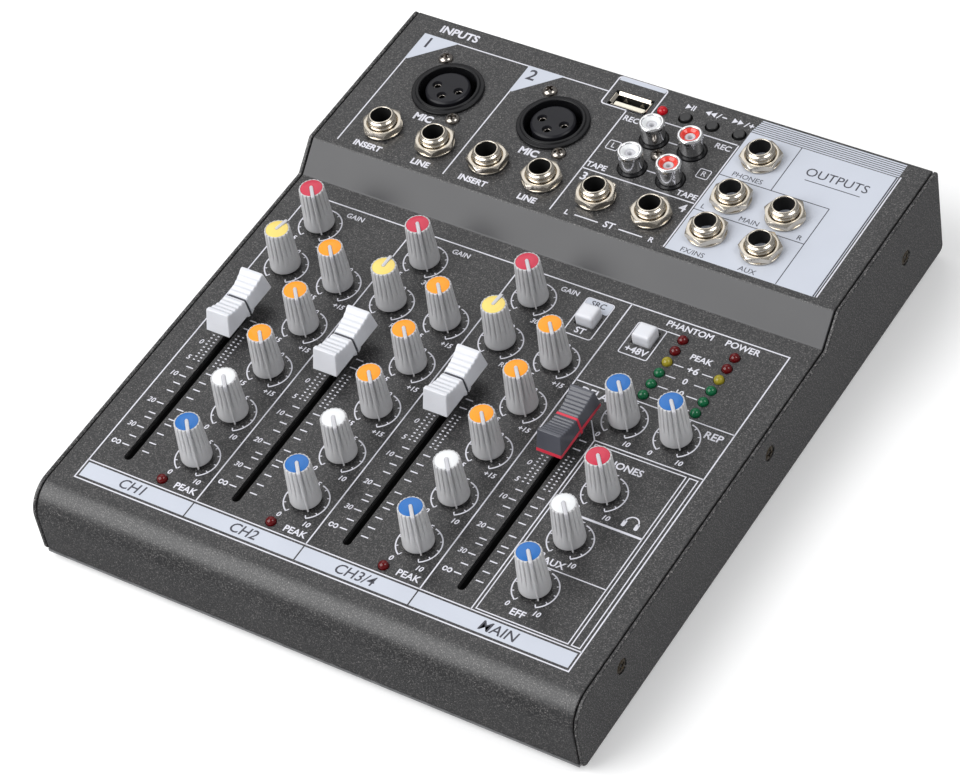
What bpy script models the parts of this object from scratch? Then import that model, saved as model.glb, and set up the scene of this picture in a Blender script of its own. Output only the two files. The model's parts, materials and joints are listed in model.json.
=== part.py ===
"""Tabletop mixing console: a folded steel case with its knobs, faders, buttons and sockets.

Metres, +Z up, front edge towards -Y. The origin is the middle of the footprint, on the
surface that the rubber feet stand on. Lengths "from the front" are measured from the case's
front face, and heights "above the panel" from the outer face of the sheet there.
"""
import math

import bmesh
import bpy
from mathutils import Matrix, Vector

# Case
WIDTH = 0.200
DEPTH = 0.234
FOOT_HEIGHT = 0.003
CONTROL_HEIGHT = 0.0263
CONNECTOR_HEIGHT = 0.0353
SHEET = 0.0012
GAP = 0.0003
SEAM = 0.0005
FRONT_BEND = 0.010
RAMP_START = 0.1565
RAMP_END = 0.1660
SMALL_BEND = 0.0015
FOOT_RADIUS = 0.006
FOOT_INSET = 0.018
FLANGE_TOP = 0.025
FLANGE_NOTCH = 0.004
COVER_LIFT = 0.0016
PANEL_CORNER = 0.0015

CASE_BASE = FOOT_HEIGHT
CONTROL_Z = CASE_BASE + CONTROL_HEIGHT
CONNECTOR_Z = CASE_BASE + CONNECTOR_HEIGHT
CHEEK_INNER = WIDTH / 2 - SHEET
COVER_HALF = CHEEK_INNER - SEAM

# Control grid: one column pitch per channel, one row pitch per knob
CHANNEL_PITCH = 0.04145
FADER_X = -0.0794
KNOB_SHIFT = CHANNEL_PITCH / 2
ROW_START = 0.0359
ROW_PITCH = 0.02055
DELAY_ROW = 0.1054
DELAY_X = 0.0564
REPEAT_X = 0.0750

# Knobs: heights above the panel, turned clockwise from straight back
KNOB_SKIRT = 0.0012
KNOB_TOP = 0.0174
KNOB_BASE_RADIUS = 0.0051
KNOB_TOP_RADIUS = 0.0042
RIB_WIDTH = 0.0016
RIB_RISE = 0.0008
SHAFT_RADIUS = 0.003
SHAFT_HOLE = 0.0036
SET_TURN = 140.0
PAN_TURNS = (12.0, 0.0, 4.0)

# Faders, at the top of their travel
FADER_REST = 0.0919
SLOT_START = 0.0258
SLOT_END = 0.0974
SLOT_WIDTH = 0.0029
CAP_BASE_WIDTH = 0.0091
CAP_TOP_WIDTH = 0.0082
CAP_BASE_LENGTH = 0.0248
CAP_TOP_LENGTH = 0.0217
CAP_BOTTOM = 0.0054
CAP_TOP = 0.0135
CAP_DIP = 0.0030
LEVER_WIDTH = 0.0012
LEVER_LENGTH = 0.0040
LEVER_DEPTH = 0.0047

# Buttons
BUTTON_SIDE = 0.0066
BUTTON_HOLE = 0.0074
BUTTON_RISE = 0.0038
BUTTON_ROW = 0.1385
SELECT_X = 0.0242
PHANTOM_X = 0.0450
BUTTON_SKIRT = 0.0027
STEM_SIDE = 0.0030
STEM_LENGTH = 0.0030
KEY_RADIUS = 0.0021
KEY_HOLE = 0.0025
KEY_ROW = 0.2232
KEY_START = 0.0129
KEY_PITCH = 0.0101
KEY_RISE = 0.0006
KEY_LENGTH = 0.0050

# Sockets
JACK_START = -0.0786
JACK_PITCH = 0.0207
JACK_ROW = 0.1794
MAIN_JACK_ROW = 0.1958
PHONES_ROW = 0.2158
LEFT_JACK_X = 0.0454
RIGHT_JACK_X = 0.0650
JACK_BORE = 0.00325
JACK_RADIUS = 0.0042
JACK_HOLE = 0.0046
JACK_RISE = 0.0060
JACK_BORE_DEPTH = 0.022
NUT_CORNER = 0.0071
NUT_TOP = 0.0030
WASHER_RADIUS = 0.0067
WASHER_TOP = 0.0009
JACK_BODY = 0.0145
XLR_START = -0.0679
XLR_ROW = 0.2036
XLR_FLANGE = 0.0124
XLR_FLANGE_TOP = 0.0009
XLR_RIM_OUTER = 0.0108
XLR_RIM_TOP = 0.0016
XLR_INSERT_TOP = 0.0013
XLR_BORE = 0.0094
XLR_INSERT = 0.0074
XLR_GROOVE = 0.0110
XLR_BARREL = 0.0110
XLR_HOLE = 0.0114
XLR_PIN_HOLE = 0.0014
XLR_PIN_DEPTH = 0.008
XLR_PIN_SPREAD = 0.0042
XLR_PIN_DROP = 0.0035
RCA_X = 0.0153
RCA_Y = 0.2033
RCA_PITCH = 0.0144
RCA_COLLAR = 0.0055
RCA_HOLE = 0.0059
RCA_COLLAR_TOP = 0.0005
RCA_BARREL = 0.0039
RCA_RISE = 0.0080
RCA_BORE = 0.0017
RCA_BLOCK = 0.0300
USB_X = -0.0077
USB_Y = 0.2228
USB_WIDTH = 0.0131
USB_DEPTH = 0.0057
USB_WALL = 0.0004
USB_RISE = 0.0006
USB_SHELL = 0.0120
TONGUE = 0.0018
INLET_X = 0.075
INLET_RISE = 0.0060
INLET_RADIUS = 0.0050
INLET_BORE = 0.0031
INLET_PIN = 0.0010
INLET_BORE_DEPTH = 0.009
INLET_BODY = (0.012, 0.012, 0.012)

# Boards
BOARD = 0.0016
BOARD_HALF = 0.094
POT_BODY = (0.0098, 0.0120, 0.0065)
FADER_BODY = (0.0085, 0.0750, 0.0075)
SWITCH_BODY = (0.0084, 0.0084, 0.0060)
KEY_SWITCH = 0.0060
CONTROL_BOARD = (0.014, 0.152)
CONNECTOR_BOARD = (0.168, 0.229)
CONNECTOR_BOARD_DROP = 0.0278

COARSE = 12
ROUND = 20
FINE = 32
OVERLAP = 0.0005
THROUGH = 0.010
MERGE = 0.00001

COLOURS = {
    "powder_coat": ((0.065, 0.065, 0.068), 0.55, 0.2),
    "zinc_steel": ((0.45, 0.45, 0.46), 0.40, 0.9),
    "rubber": ((0.012, 0.012, 0.012), 0.85, 0.0),
    "knob_grey": ((0.42, 0.42, 0.45), 0.42, 0.0),
    "cap_white": ((0.82, 0.82, 0.83), 0.35, 0.0),
    "cap_dark": ((0.10, 0.10, 0.12), 0.35, 0.0),
    "socket_black": ((0.012, 0.012, 0.014), 0.38, 0.0),
    "nickel": ((0.68, 0.65, 0.60), 0.18, 1.0),
    "board_green": ((0.02, 0.09, 0.04), 0.45, 0.0),
}


def front(distance):
    """World y of a place given from the front face."""
    return distance - DEPTH / 2


def clear_scene():
    for thing in list(bpy.data.objects):
        bpy.data.objects.remove(thing, do_unlink=True)


def collection(name):
    made = bpy.data.collections.new(name)
    bpy.context.scene.collection.children.link(made)
    return made


def material(name):
    """A Principled BSDF in one of the object's colours."""
    if name in bpy.data.materials:
        return bpy.data.materials[name]
    colour, roughness, metallic = COLOURS[name]
    made = bpy.data.materials.new(name)
    made.use_nodes = True
    shader = made.node_tree.nodes["Principled BSDF"]
    shader.inputs["Base Color"].default_value = (*colour, 1.0)
    shader.inputs["Roughness"].default_value = roughness
    shader.inputs["Metallic"].default_value = metallic
    return made


def add_object(name, data, finish=None):
    """Link an object to the console, under its root empty."""
    made = bpy.data.objects.new(name, data)
    PARTS.objects.link(made)
    made.parent = ROOT
    if finish:
        data.materials.clear()
        data.materials.append(material(finish))
    return made


def make_cutter(name, build):
    """A hidden mesh that other pieces are cut with or joined to."""
    mesh = bpy.data.meshes.new(name)
    shape = bmesh.new()
    build(shape)
    shape.to_mesh(mesh)
    shape.free()
    made = bpy.data.objects.new(name, mesh)
    CUTTERS.objects.link(made)
    made.hide_render = True
    made.display_type = "WIRE"
    return made


def add_box(shape, size, centre):
    """A box in a bmesh; size and centre are three lengths each."""
    place = Matrix.Translation(Vector(centre)) @ Matrix.Diagonal((*size, 1.0))
    return bmesh.ops.create_cube(shape, size=1.0, matrix=place)["verts"]


def add_cylinder(shape, radius, bottom, top, x=0.0, y=0.0, sides=ROUND, turn=0.0):
    """An upright cylinder in a bmesh, its first corner turned about its axis."""
    place = Matrix.Translation((x, y, (bottom + top) / 2)) @ Matrix.Rotation(turn, 4, "Z")
    return bmesh.ops.create_cone(
        shape, cap_ends=True, segments=sides, radius1=radius, radius2=radius,
        depth=top - bottom, matrix=place)["verts"]


def add_slot(shape, width, start, end, bottom, top, x):
    """A cylinder drawn out along y into a slot with round ends."""
    middle = (start + end) / 2
    run = (end - start - width) / 2
    for corner in add_cylinder(shape, width / 2, bottom, top, x, middle, COARSE, math.pi / COARSE):
        corner.co.y += math.copysign(run, corner.co.y - middle)


def boolean(target, operand, operation="DIFFERENCE"):
    step = target.modifiers.new(operand.name, "BOOLEAN")
    step.operation = operation
    step.solver = "EXACT"
    step.object = operand


def applied(target):
    """The evaluated mesh of an object, which is then removed."""
    bpy.context.view_layer.update()
    seen = target.evaluated_get(bpy.context.evaluated_depsgraph_get())
    mesh = bpy.data.meshes.new_from_object(seen)
    bpy.data.objects.remove(target, do_unlink=True)
    return mesh


def turned(name, profile, sides):
    """A mesh object from a profile of (radius, height) points, screwed round the Z axis."""
    mesh = bpy.data.meshes.new(name)
    points = [(radius, 0.0, height) for radius, height in profile]
    mesh.from_pydata(points, [(i, i + 1) for i in range(len(points) - 1)], [])
    made = bpy.data.objects.new(name, mesh)
    PARTS.objects.link(made)
    screw = made.modifiers.new("turn", "SCREW")
    screw.angle = math.tau
    screw.steps = screw.render_steps = sides
    screw.use_merge_vertices = True
    screw.merge_threshold = MERGE
    screw.use_smooth_shade = False
    return made


def box_object(name, size, centre):
    """A plain box as a mesh object, to be cut or joined."""
    bpy.ops.mesh.primitive_cube_add(size=1.0, location=centre)
    made = bpy.context.object
    made.name = name
    for user in list(made.users_collection):
        user.objects.unlink(made)
    PARTS.objects.link(made)
    for corner in made.data.vertices:
        corner.co = Vector(corner.co) * Vector(size)
    return made


def bent_path(corners):
    """Points along a path whose corners (y, z, radius, steps) are rounded to their radius."""
    points = []
    for i, (y, z, radius, steps) in enumerate(corners):
        here = Vector((y, z))
        if not radius:
            points.append(here)
            continue
        before = (Vector(corners[i - 1][:2]) - here).normalized()
        after = (Vector(corners[(i + 1) % len(corners)][:2]) - here).normalized()
        half = before.angle(after) / 2
        reach = radius / math.tan(half)
        centre = here + (before + after).normalized() * (radius / math.sin(half))
        start = here + before * reach - centre
        sweep = math.pi - 2 * half
        if before.x * after.y - before.y * after.x > 0:
            sweep = -sweep
        for step in range(steps + 1):
            points.append(centre + Matrix.Rotation(sweep * step / steps, 2) @ start)
    return points


def case_path(bottom, foot_corner=0.0):
    """The case's outer side view, from the front wall's foot over to the back wall's foot."""
    return bent_path([
        (front(0.0), bottom, foot_corner, 3),
        (front(0.0), CONTROL_Z, FRONT_BEND, 8),
        (front(RAMP_START), CONTROL_Z, SMALL_BEND, 3),
        (front(RAMP_END), CONNECTOR_Z, SMALL_BEND, 3),
        (front(DEPTH), CONNECTOR_Z, SMALL_BEND, 3),
        (front(DEPTH), bottom, foot_corner, 3),
    ])


def outline(name, points, thickness, finish):
    """A flat plate: a filled 2D curve of the given thickness."""
    curve = bpy.data.curves.new(name, "CURVE")
    curve.dimensions = "2D"
    curve.fill_mode = "BOTH"
    curve.extrude = thickness / 2
    spline = curve.splines.new("POLY")
    spline.points.add(len(points) - 1)
    for target, (across, up) in zip(spline.points, points):
        target.co = (across, up, 0.0, 1.0)
    spline.use_cyclic_u = True
    return add_object(name, curve, finish)


def channel_x(channel):
    """x of a channel's fader; the main fader is channel 3."""
    return FADER_X + channel * CHANNEL_PITCH


def row_y(row):
    return ROW_START + row * ROW_PITCH


def knob_places():
    """Every knob: name, x, distance from the front, and clockwise turn in degrees."""
    second = (("effect", 0), ("aux", 1), ("low", 2), ("mid", 3), ("high", 4))
    for channel in range(3):
        label = f"ch{channel + 1}"
        x = channel_x(channel)
        yield f"{label}_gain_knob", x, row_y(5), SET_TURN
        yield f"{label}_pan_knob", x, row_y(4), PAN_TURNS[channel]
        for name, row in second:
            yield f"{label}_{name}_knob", x + KNOB_SHIFT, row_y(row), SET_TURN
    yield "delay_knob", DELAY_X, DELAY_ROW, SET_TURN
    yield "repeat_knob", REPEAT_X, DELAY_ROW, SET_TURN
    for name, row in (("main_effect", 0), ("main_aux", 1), ("phones", 2)):
        yield f"{name}_knob", channel_x(3) + KNOB_SHIFT, row_y(row), SET_TURN


def jack_places():
    """Every quarter-inch jack: name, x and distance from the front."""
    row = ("insert_1", "line_1", "insert_2", "line_2", "stereo_left", "stereo_right")
    for i, name in enumerate(row):
        yield f"{name}_jack", JACK_START + i * JACK_PITCH, JACK_ROW
    yield "effect_jack", LEFT_JACK_X, JACK_ROW
    yield "aux_jack", RIGHT_JACK_X, JACK_ROW
    yield "main_left_jack", LEFT_JACK_X, MAIN_JACK_ROW
    yield "main_right_jack", RIGHT_JACK_X, MAIN_JACK_ROW
    yield "phones_jack", LEFT_JACK_X, PHONES_ROW


def xlr_places():
    for i in range(2):
        yield f"xlr_socket_{i + 1}", XLR_START + i * CHANNEL_PITCH, XLR_ROW


def rca_places():
    for across in (-0.5, 0.5):
        for along in (-0.5, 0.5):
            yield RCA_X + across * RCA_PITCH, RCA_Y + along * RCA_PITCH


def key_places():
    for i, name in enumerate(("play", "previous", "next")):
        yield f"{name}_button", KEY_START + i * KEY_PITCH, KEY_ROW


def button_places():
    yield "select_button", SELECT_X, BUTTON_ROW
    yield "phantom_button", PHANTOM_X, BUTTON_ROW


def cover_holes(shape):
    """Every hole in the top cover, and the power inlet's hole in its back wall."""
    low, high = CONTROL_Z - THROUGH / 2, CONTROL_Z + THROUGH / 2
    for _, x, y, _ in knob_places():
        add_cylinder(shape, SHAFT_HOLE, low, high, x, front(y), COARSE)
    for channel in range(4):
        add_slot(shape, SLOT_WIDTH, front(SLOT_START), front(SLOT_END), low, high, channel_x(channel))
    for _, x, y in button_places():
        add_box(shape, (BUTTON_HOLE, BUTTON_HOLE, THROUGH), (x, front(y), CONTROL_Z))
    low, high = CONNECTOR_Z - THROUGH / 2, CONNECTOR_Z + THROUGH / 2
    for _, x, y in jack_places():
        add_cylinder(shape, JACK_HOLE, low, high, x, front(y), COARSE)
    for _, x, y in xlr_places():
        add_cylinder(shape, XLR_HOLE, low, high, x, front(y), FINE)
    for x, y in rca_places():
        add_cylinder(shape, RCA_HOLE, low, high, x, front(y), ROUND)
    for _, x, y in key_places():
        add_cylinder(shape, KEY_HOLE, low, high, x, front(y), COARSE)
    usb_hole = (USB_WIDTH + 2 * GAP, USB_DEPTH + 2 * GAP, THROUGH)
    add_box(shape, usb_hole, (USB_X, front(USB_Y), CONNECTOR_Z))
    inlet = add_cylinder(shape, INLET_RADIUS + GAP, -THROUGH / 2, THROUGH / 2)
    bmesh.ops.rotate(shape, verts=inlet, cent=(0, 0, 0), matrix=Matrix.Rotation(math.pi / 2, 3, "X"))
    bmesh.ops.translate(shape, verts=inlet, vec=(INLET_X, front(DEPTH), inlet_z()))


def connector_board_top():
    return CONNECTOR_Z - CONNECTOR_BOARD_DROP


def inlet_z():
    return connector_board_top() + INLET_RISE


def make_case():
    """The folded top cover, the two side panels, the bottom pan and the feet."""
    path = case_path(CASE_BASE + COVER_LIFT)
    mesh = bpy.data.meshes.new("top_cover")
    points = [(x, y, z) for x in (-COVER_HALF, COVER_HALF) for y, z in path]
    count = len(path)
    mesh.from_pydata(points, [], [(i, i + count, i + count + 1, i + 1) for i in range(count - 1)])
    cover = add_object("top_cover", mesh, "powder_coat")
    fold = cover.modifiers.new("sheet", "SOLIDIFY")
    fold.thickness = SHEET
    fold.offset = -1.0
    fold.use_even_offset = True
    boolean(cover, make_cutter("cover_holes", cover_holes))

    side = case_path(CASE_BASE, PANEL_CORNER)
    for name, sign in (("left_side_panel", -1), ("right_side_panel", 1)):
        panel = outline(name, side, SHEET, "powder_coat")
        panel.rotation_euler = (math.pi / 2, 0.0, math.pi / 2)
        panel.location.x = sign * (CHEEK_INNER + SHEET / 2)

    make_bottom_pan()

    for name, across, along in (("front_left_foot", -1, -1), ("front_right_foot", 1, -1),
                                ("rear_left_foot", -1, 1), ("rear_right_foot", 1, 1)):
        foot = turned(name, [(0.0, FOOT_HEIGHT - GAP), (FOOT_RADIUS, FOOT_HEIGHT - GAP),
                             (FOOT_RADIUS, 0.0), (0.0, 0.0)], ROUND)
        foot.parent = ROOT
        foot.data.materials.append(material("rubber"))
        foot.location = (across * (WIDTH / 2 - FOOT_INSET), along * (DEPTH / 2 - FOOT_INSET), 0.0)


def make_bottom_pan():
    """A tray with a flange up each side for the side panels' screws, notched for the front bend.

    Its floor runs out under the feet of the cover's walls; its flanges stop inside them.
    """
    width = 2 * (CHEEK_INNER - GAP)
    height = FLANGE_TOP - CASE_BASE
    floor = CASE_BASE + SHEET
    pan = box_object("bottom_pan", (width, DEPTH, height), (0.0, 0.0, CASE_BASE + height / 2))

    def inside(shape):
        add_box(shape, (width - 2 * SHEET, 2 * DEPTH, 2 * height), (0.0, 0.0, floor + height))

    def notch(shape):
        add_box(shape, (WIDTH, 2 * FRONT_BEND, 2 * height), (0.0, front(0.0), floor + height + FLANGE_NOTCH))

    def ends(shape):
        for end in (-1, 1):
            add_box(shape, (WIDTH, 2 * (SHEET + GAP), 2 * height), (0.0, end * DEPTH / 2, floor + height))

    boolean(pan, make_cutter("pan_inside", inside))
    boolean(pan, make_cutter("pan_ends", ends))
    boolean(pan, make_cutter("pan_notch", notch))
    pan.parent = ROOT
    pan.data.materials.append(material("zinc_steel"))


def knob_mesh():
    """One knob with its pointer rib towards +Y and its shaft, about its own axis."""
    foot = -(SHEET + GAP)
    body = turned("knob", [(0.0, KNOB_TOP), (KNOB_TOP_RADIUS, KNOB_TOP), (KNOB_BASE_RADIUS, KNOB_SKIRT),
                           (SHAFT_RADIUS, KNOB_SKIRT), (SHAFT_RADIUS, foot), (0.0, foot)], ROUND)

    def rib(shape):
        crest = KNOB_TOP + RIB_RISE
        corners = add_box(shape, (RIB_WIDTH, KNOB_BASE_RADIUS, crest - KNOB_SKIRT),
                          (0.0, KNOB_BASE_RADIUS / 2, (crest + KNOB_SKIRT) / 2))
        for corner in corners:
            if corner.co.y > KNOB_BASE_RADIUS / 2:
                high = corner.co.z > KNOB_TOP
                corner.co.y = RIB_RISE / 2 + (KNOB_TOP_RADIUS if high else KNOB_BASE_RADIUS)

    boolean(body, make_cutter("knob_rib", rib), "UNION")
    return applied(body)


def make_knobs():
    mesh = knob_mesh()
    for name, x, y, turn in knob_places():
        knob = add_object(name, mesh)
        knob.location = (x, front(y), CONTROL_Z)
        knob.rotation_euler.z = -math.radians(turn)
    mesh.materials.append(material("knob_grey"))


def fader_mesh(finish):
    """A fader cap with a dished top on its lever, about the cap's middle."""
    block = box_object("fader", (CAP_BASE_WIDTH, CAP_BASE_LENGTH, CAP_TOP - CAP_BOTTOM),
                       (0.0, 0.0, (CAP_TOP + CAP_BOTTOM) / 2))
    for corner in block.data.vertices:
        if corner.co.z > 0:
            corner.co.x *= CAP_TOP_WIDTH / CAP_BASE_WIDTH
            corner.co.y *= CAP_TOP_LENGTH / CAP_BASE_LENGTH
    half = CAP_TOP_LENGTH / 2
    radius = (half ** 2 + CAP_DIP ** 2) / (2 * CAP_DIP)

    def dish(shape):
        roll = add_cylinder(shape, radius, -CAP_BASE_WIDTH, CAP_BASE_WIDTH, sides=FINE * 2)
        bmesh.ops.rotate(shape, verts=roll, cent=(0, 0, 0), matrix=Matrix.Rotation(math.pi / 2, 3, "Y"))
        bmesh.ops.translate(shape, verts=roll, vec=(0, 0, CAP_TOP - CAP_DIP + radius))

    def lever(shape):
        top = CAP_BOTTOM + OVERLAP
        add_box(shape, (LEVER_WIDTH, LEVER_LENGTH, top + LEVER_DEPTH),
                (0.0, 0.0, (top - LEVER_DEPTH) / 2))

    boolean(block, make_cutter("cap_dish", dish))
    boolean(block, make_cutter("fader_lever", lever), "UNION")
    shift = block.location.z
    mesh = applied(block)
    mesh.transform(Matrix.Translation((0.0, 0.0, shift)))
    mesh.materials.clear()
    mesh.materials.append(material(finish))
    return mesh


def make_faders():
    white, dark = fader_mesh("cap_white"), fader_mesh("cap_dark")
    names = ("ch1_fader", "ch2_fader", "ch3_fader", "main_fader")
    for channel, name in enumerate(names):
        fader = add_object(name, dark if name == "main_fader" else white)
        fader.location = (channel_x(channel), front(FADER_REST), CONTROL_Z)


def make_buttons():
    """The two square push buttons, and the player's three round ones."""
    for name, x, y in button_places():
        height = BUTTON_RISE + BUTTON_SKIRT
        button = box_object(name, (BUTTON_SIDE, BUTTON_SIDE, height),
                            (x, front(y), CONTROL_Z + BUTTON_RISE - height / 2))

        def stem(shape, x=x, y=y):
            top = CONTROL_Z - BUTTON_SKIRT + OVERLAP
            bottom = CONTROL_Z - BUTTON_SKIRT - STEM_LENGTH
            add_box(shape, (STEM_SIDE, STEM_SIDE, top - bottom), (x, front(y), (top + bottom) / 2))

        boolean(button, make_cutter(f"{name}_stem", stem), "UNION")
        button.parent = ROOT
        button.data.materials.append(material("cap_white"))
    for name, x, y in key_places():
        key = turned(name, [(0.0, KEY_RISE), (KEY_RADIUS, KEY_RISE),
                            (KEY_RADIUS, -KEY_LENGTH), (0.0, -KEY_LENGTH)], ROUND)
        key.parent = ROOT
        key.data.materials.append(material("socket_black"))
        key.location = (x, front(y), CONNECTOR_Z)


def jack_mesh():
    """A jack about its axis: washer, nut and bush above the panel, its body below."""
    below = -(SHEET + GAP)
    floor = -(CONNECTOR_BOARD_DROP - GAP)
    bush = turned("jack", [(0.0, JACK_RISE), (JACK_RADIUS, JACK_RISE), (JACK_RADIUS, WASHER_TOP),
                           (WASHER_RADIUS, WASHER_TOP), (WASHER_RADIUS, GAP), (JACK_RADIUS, GAP),
                           (JACK_RADIUS, below - OVERLAP), (0.0, below - OVERLAP)], ROUND)

    def nut(shape):
        add_cylinder(shape, NUT_CORNER, WASHER_TOP - OVERLAP, NUT_TOP, sides=6)

    def body(shape):
        add_box(shape, (JACK_BODY, JACK_BODY, below - floor), (0.0, 0.0, (below + floor) / 2))

    def bore(shape):
        add_cylinder(shape, JACK_BORE, -JACK_BORE_DEPTH, JACK_RISE + OVERLAP, sides=COARSE)

    boolean(bush, make_cutter("jack_nut", nut), "UNION")
    boolean(bush, make_cutter("jack_body", body), "UNION")
    boolean(bush, make_cutter("jack_bore", bore))
    return applied(bush)


def make_jacks():
    mesh = jack_mesh()
    mesh.materials.append(material("nickel"))
    for name, x, y in jack_places():
        jack = add_object(name, mesh)
        jack.location = (x, front(y), CONNECTOR_Z)


def xlr_mesh():
    """A microphone socket about its axis: a flange, a groove round the insert, pin holes."""
    floor = -(CONNECTOR_BOARD_DROP - GAP)
    socket = turned("xlr", [
        (0.0, XLR_INSERT_TOP), (XLR_INSERT, XLR_INSERT_TOP), (XLR_INSERT, -XLR_GROOVE),
        (XLR_BORE, -XLR_GROOVE), (XLR_BORE, XLR_RIM_TOP), (XLR_RIM_OUTER, XLR_RIM_TOP),
        (XLR_FLANGE, XLR_FLANGE_TOP),
        (XLR_FLANGE, GAP), (XLR_BARREL, GAP), (XLR_BARREL, floor), (0.0, floor)], FINE)

    def pins(shape):
        places = ((-XLR_PIN_SPREAD, 0.0), (XLR_PIN_SPREAD, 0.0), (0.0, -XLR_PIN_DROP))
        for x, y in places:
            add_cylinder(shape, XLR_PIN_HOLE, -XLR_PIN_DEPTH, THROUGH, x, y, COARSE)

    boolean(socket, make_cutter("xlr_pin_holes", pins))
    return applied(socket)


def make_xlr_sockets():
    mesh = xlr_mesh()
    mesh.materials.append(material("socket_black"))
    for name, x, y in xlr_places():
        socket = add_object(name, mesh)
        socket.location = (x, front(y), CONNECTOR_Z)


def make_rca_block():
    """Four RCA sockets on one moulded block."""
    roof = CONNECTOR_Z - SHEET - GAP
    floor = connector_board_top() + GAP
    block = box_object("rca_block", (RCA_BLOCK, RCA_BLOCK, roof - floor),
                       (RCA_X, front(RCA_Y), (roof + floor) / 2))

    def collars(shape):
        for x, y in rca_places():
            add_cylinder(shape, RCA_COLLAR, roof - OVERLAP, CONNECTOR_Z + RCA_COLLAR_TOP, x, front(y))

    def barrels(shape):
        for x, y in rca_places():
            add_cylinder(shape, RCA_BARREL, CONNECTOR_Z, CONNECTOR_Z + RCA_RISE, x, front(y))

    def bores(shape):
        for x, y in rca_places():
            add_cylinder(shape, RCA_BORE, CONNECTOR_Z - OVERLAP, CONNECTOR_Z + THROUGH, x, front(y), COARSE)

    boolean(block, make_cutter("rca_collars", collars), "UNION")
    boolean(block, make_cutter("rca_barrels", barrels), "UNION")
    boolean(block, make_cutter("rca_bores", bores))
    block.parent = ROOT
    block.data.materials.append(material("nickel"))


def make_usb_port():
    """An upright USB-A socket: a thin shell round a tongue, on a riser."""
    floor = connector_board_top() + GAP
    top = CONNECTOR_Z + USB_RISE
    port = box_object("usb_port", (USB_WIDTH, USB_DEPTH, top - floor),
                      (USB_X, front(USB_Y), (top + floor) / 2))
    inner = (USB_WIDTH - 2 * USB_WALL, USB_DEPTH - 2 * USB_WALL)

    def hollow(shape):
        add_box(shape, (*inner, USB_SHELL * 2), (USB_X, front(USB_Y), top))

    def tongue(shape):
        height = USB_SHELL + OVERLAP - GAP
        add_box(shape, (inner[0] - 2 * USB_WALL, TONGUE, height),
                (USB_X, front(USB_Y) - inner[1] / 2 + TONGUE, top - USB_SHELL - OVERLAP + height / 2))

    boolean(port, make_cutter("usb_hollow", hollow))
    boolean(port, make_cutter("usb_tongue", tongue), "UNION")
    port.parent = ROOT
    port.data.materials.append(material("nickel"))


def make_control_board():
    """The front circuit board with its rotary pots, slide pots and push switches."""
    under = CONTROL_Z - SHEET - GAP
    board_top = under - POT_BODY[2]
    start, end = CONTROL_BOARD
    board = box_object("control_board", (2 * BOARD_HALF, end - start, BOARD),
                       (0.0, front((start + end) / 2), board_top - BOARD / 2))
    fader_y = front((SLOT_START + SLOT_END) / 2)
    switch_top = CONTROL_Z - BUTTON_SKIRT - STEM_LENGTH + OVERLAP

    def components(shape):
        for _, x, y, _ in knob_places():
            top = under - GAP
            add_box(shape, (POT_BODY[0], POT_BODY[1], top - board_top + OVERLAP),
                    (x, front(y), (top + board_top - OVERLAP) / 2))
        for channel in range(4):
            add_box(shape, FADER_BODY, (channel_x(channel), fader_y, under - FADER_BODY[2] / 2))
        for _, x, y in button_places():
            add_box(shape, (SWITCH_BODY[0], SWITCH_BODY[1], switch_top - board_top + OVERLAP),
                    (x, front(y), (switch_top + board_top - OVERLAP) / 2))

    def hollows(shape):
        travel = (LEVER_WIDTH + 4 * GAP, SLOT_END - SLOT_START)
        for channel in range(4):
            add_box(shape, (*travel, 2 * LEVER_DEPTH), (channel_x(channel), fader_y, under))
        for _, x, y in button_places():
            side = STEM_SIDE + 2 * GAP
            add_box(shape, (side, side, 2 * STEM_LENGTH), (x, front(y), switch_top))

    boolean(board, make_cutter("control_components", components), "UNION")
    boolean(board, make_cutter("control_hollows", hollows))
    board.parent = ROOT
    board.data.materials.append(material("board_green"))


def make_connector_board():
    """The rear circuit board with the player's tact switches and the power inlet."""
    board_top = connector_board_top()
    start, end = CONNECTOR_BOARD
    board = box_object("connector_board", (2 * BOARD_HALF, end - start, BOARD),
                       (0.0, front((start + end) / 2), board_top - BOARD / 2))
    switch_top = CONNECTOR_Z - KEY_LENGTH - 3 * GAP
    back = front(DEPTH)
    body_back = back - SHEET - GAP

    def components(shape):
        for _, x, y in key_places():
            add_box(shape, (KEY_SWITCH, KEY_SWITCH, switch_top - board_top + OVERLAP),
                    (x, front(y), (switch_top + board_top - OVERLAP) / 2))
        wide, deep, high = INLET_BODY
        add_box(shape, (wide, deep, high + OVERLAP),
                (INLET_X, body_back - deep / 2, board_top + (high - OVERLAP) / 2))

    def nose(shape):
        add_cylinder(shape, INLET_RADIUS, 0.0, SHEET + OVERLAP)

    def bore(shape):
        add_cylinder(shape, INLET_BORE, -OVERLAP, INLET_BORE_DEPTH)

    def pin(shape):
        add_cylinder(shape, INLET_PIN, SHEET, INLET_BORE_DEPTH + OVERLAP, sides=COARSE)

    boolean(board, make_cutter("connector_components", components), "UNION")
    for name, build, how in (("inlet_nose", nose, "UNION"), ("inlet_bore", bore, "DIFFERENCE"),
                             ("inlet_pin", pin, "UNION")):
        cutter = make_cutter(name, build)
        cutter.rotation_euler.x = math.pi / 2
        cutter.location = (INLET_X, back - GAP, inlet_z())
        boolean(board, cutter, how)
    board.parent = ROOT
    board.data.materials.append(material("board_green"))


clear_scene()
PARTS = collection("mixing_console")
CUTTERS = collection("cutters")
ROOT = bpy.data.objects.new("console_root", None)
PARTS.objects.link(ROOT)
make_case()
make_knobs()
make_faders()
make_buttons()
make_jacks()
make_xlr_sockets()
make_rca_block()
make_usb_port()
make_control_board()
make_connector_board()
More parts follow.
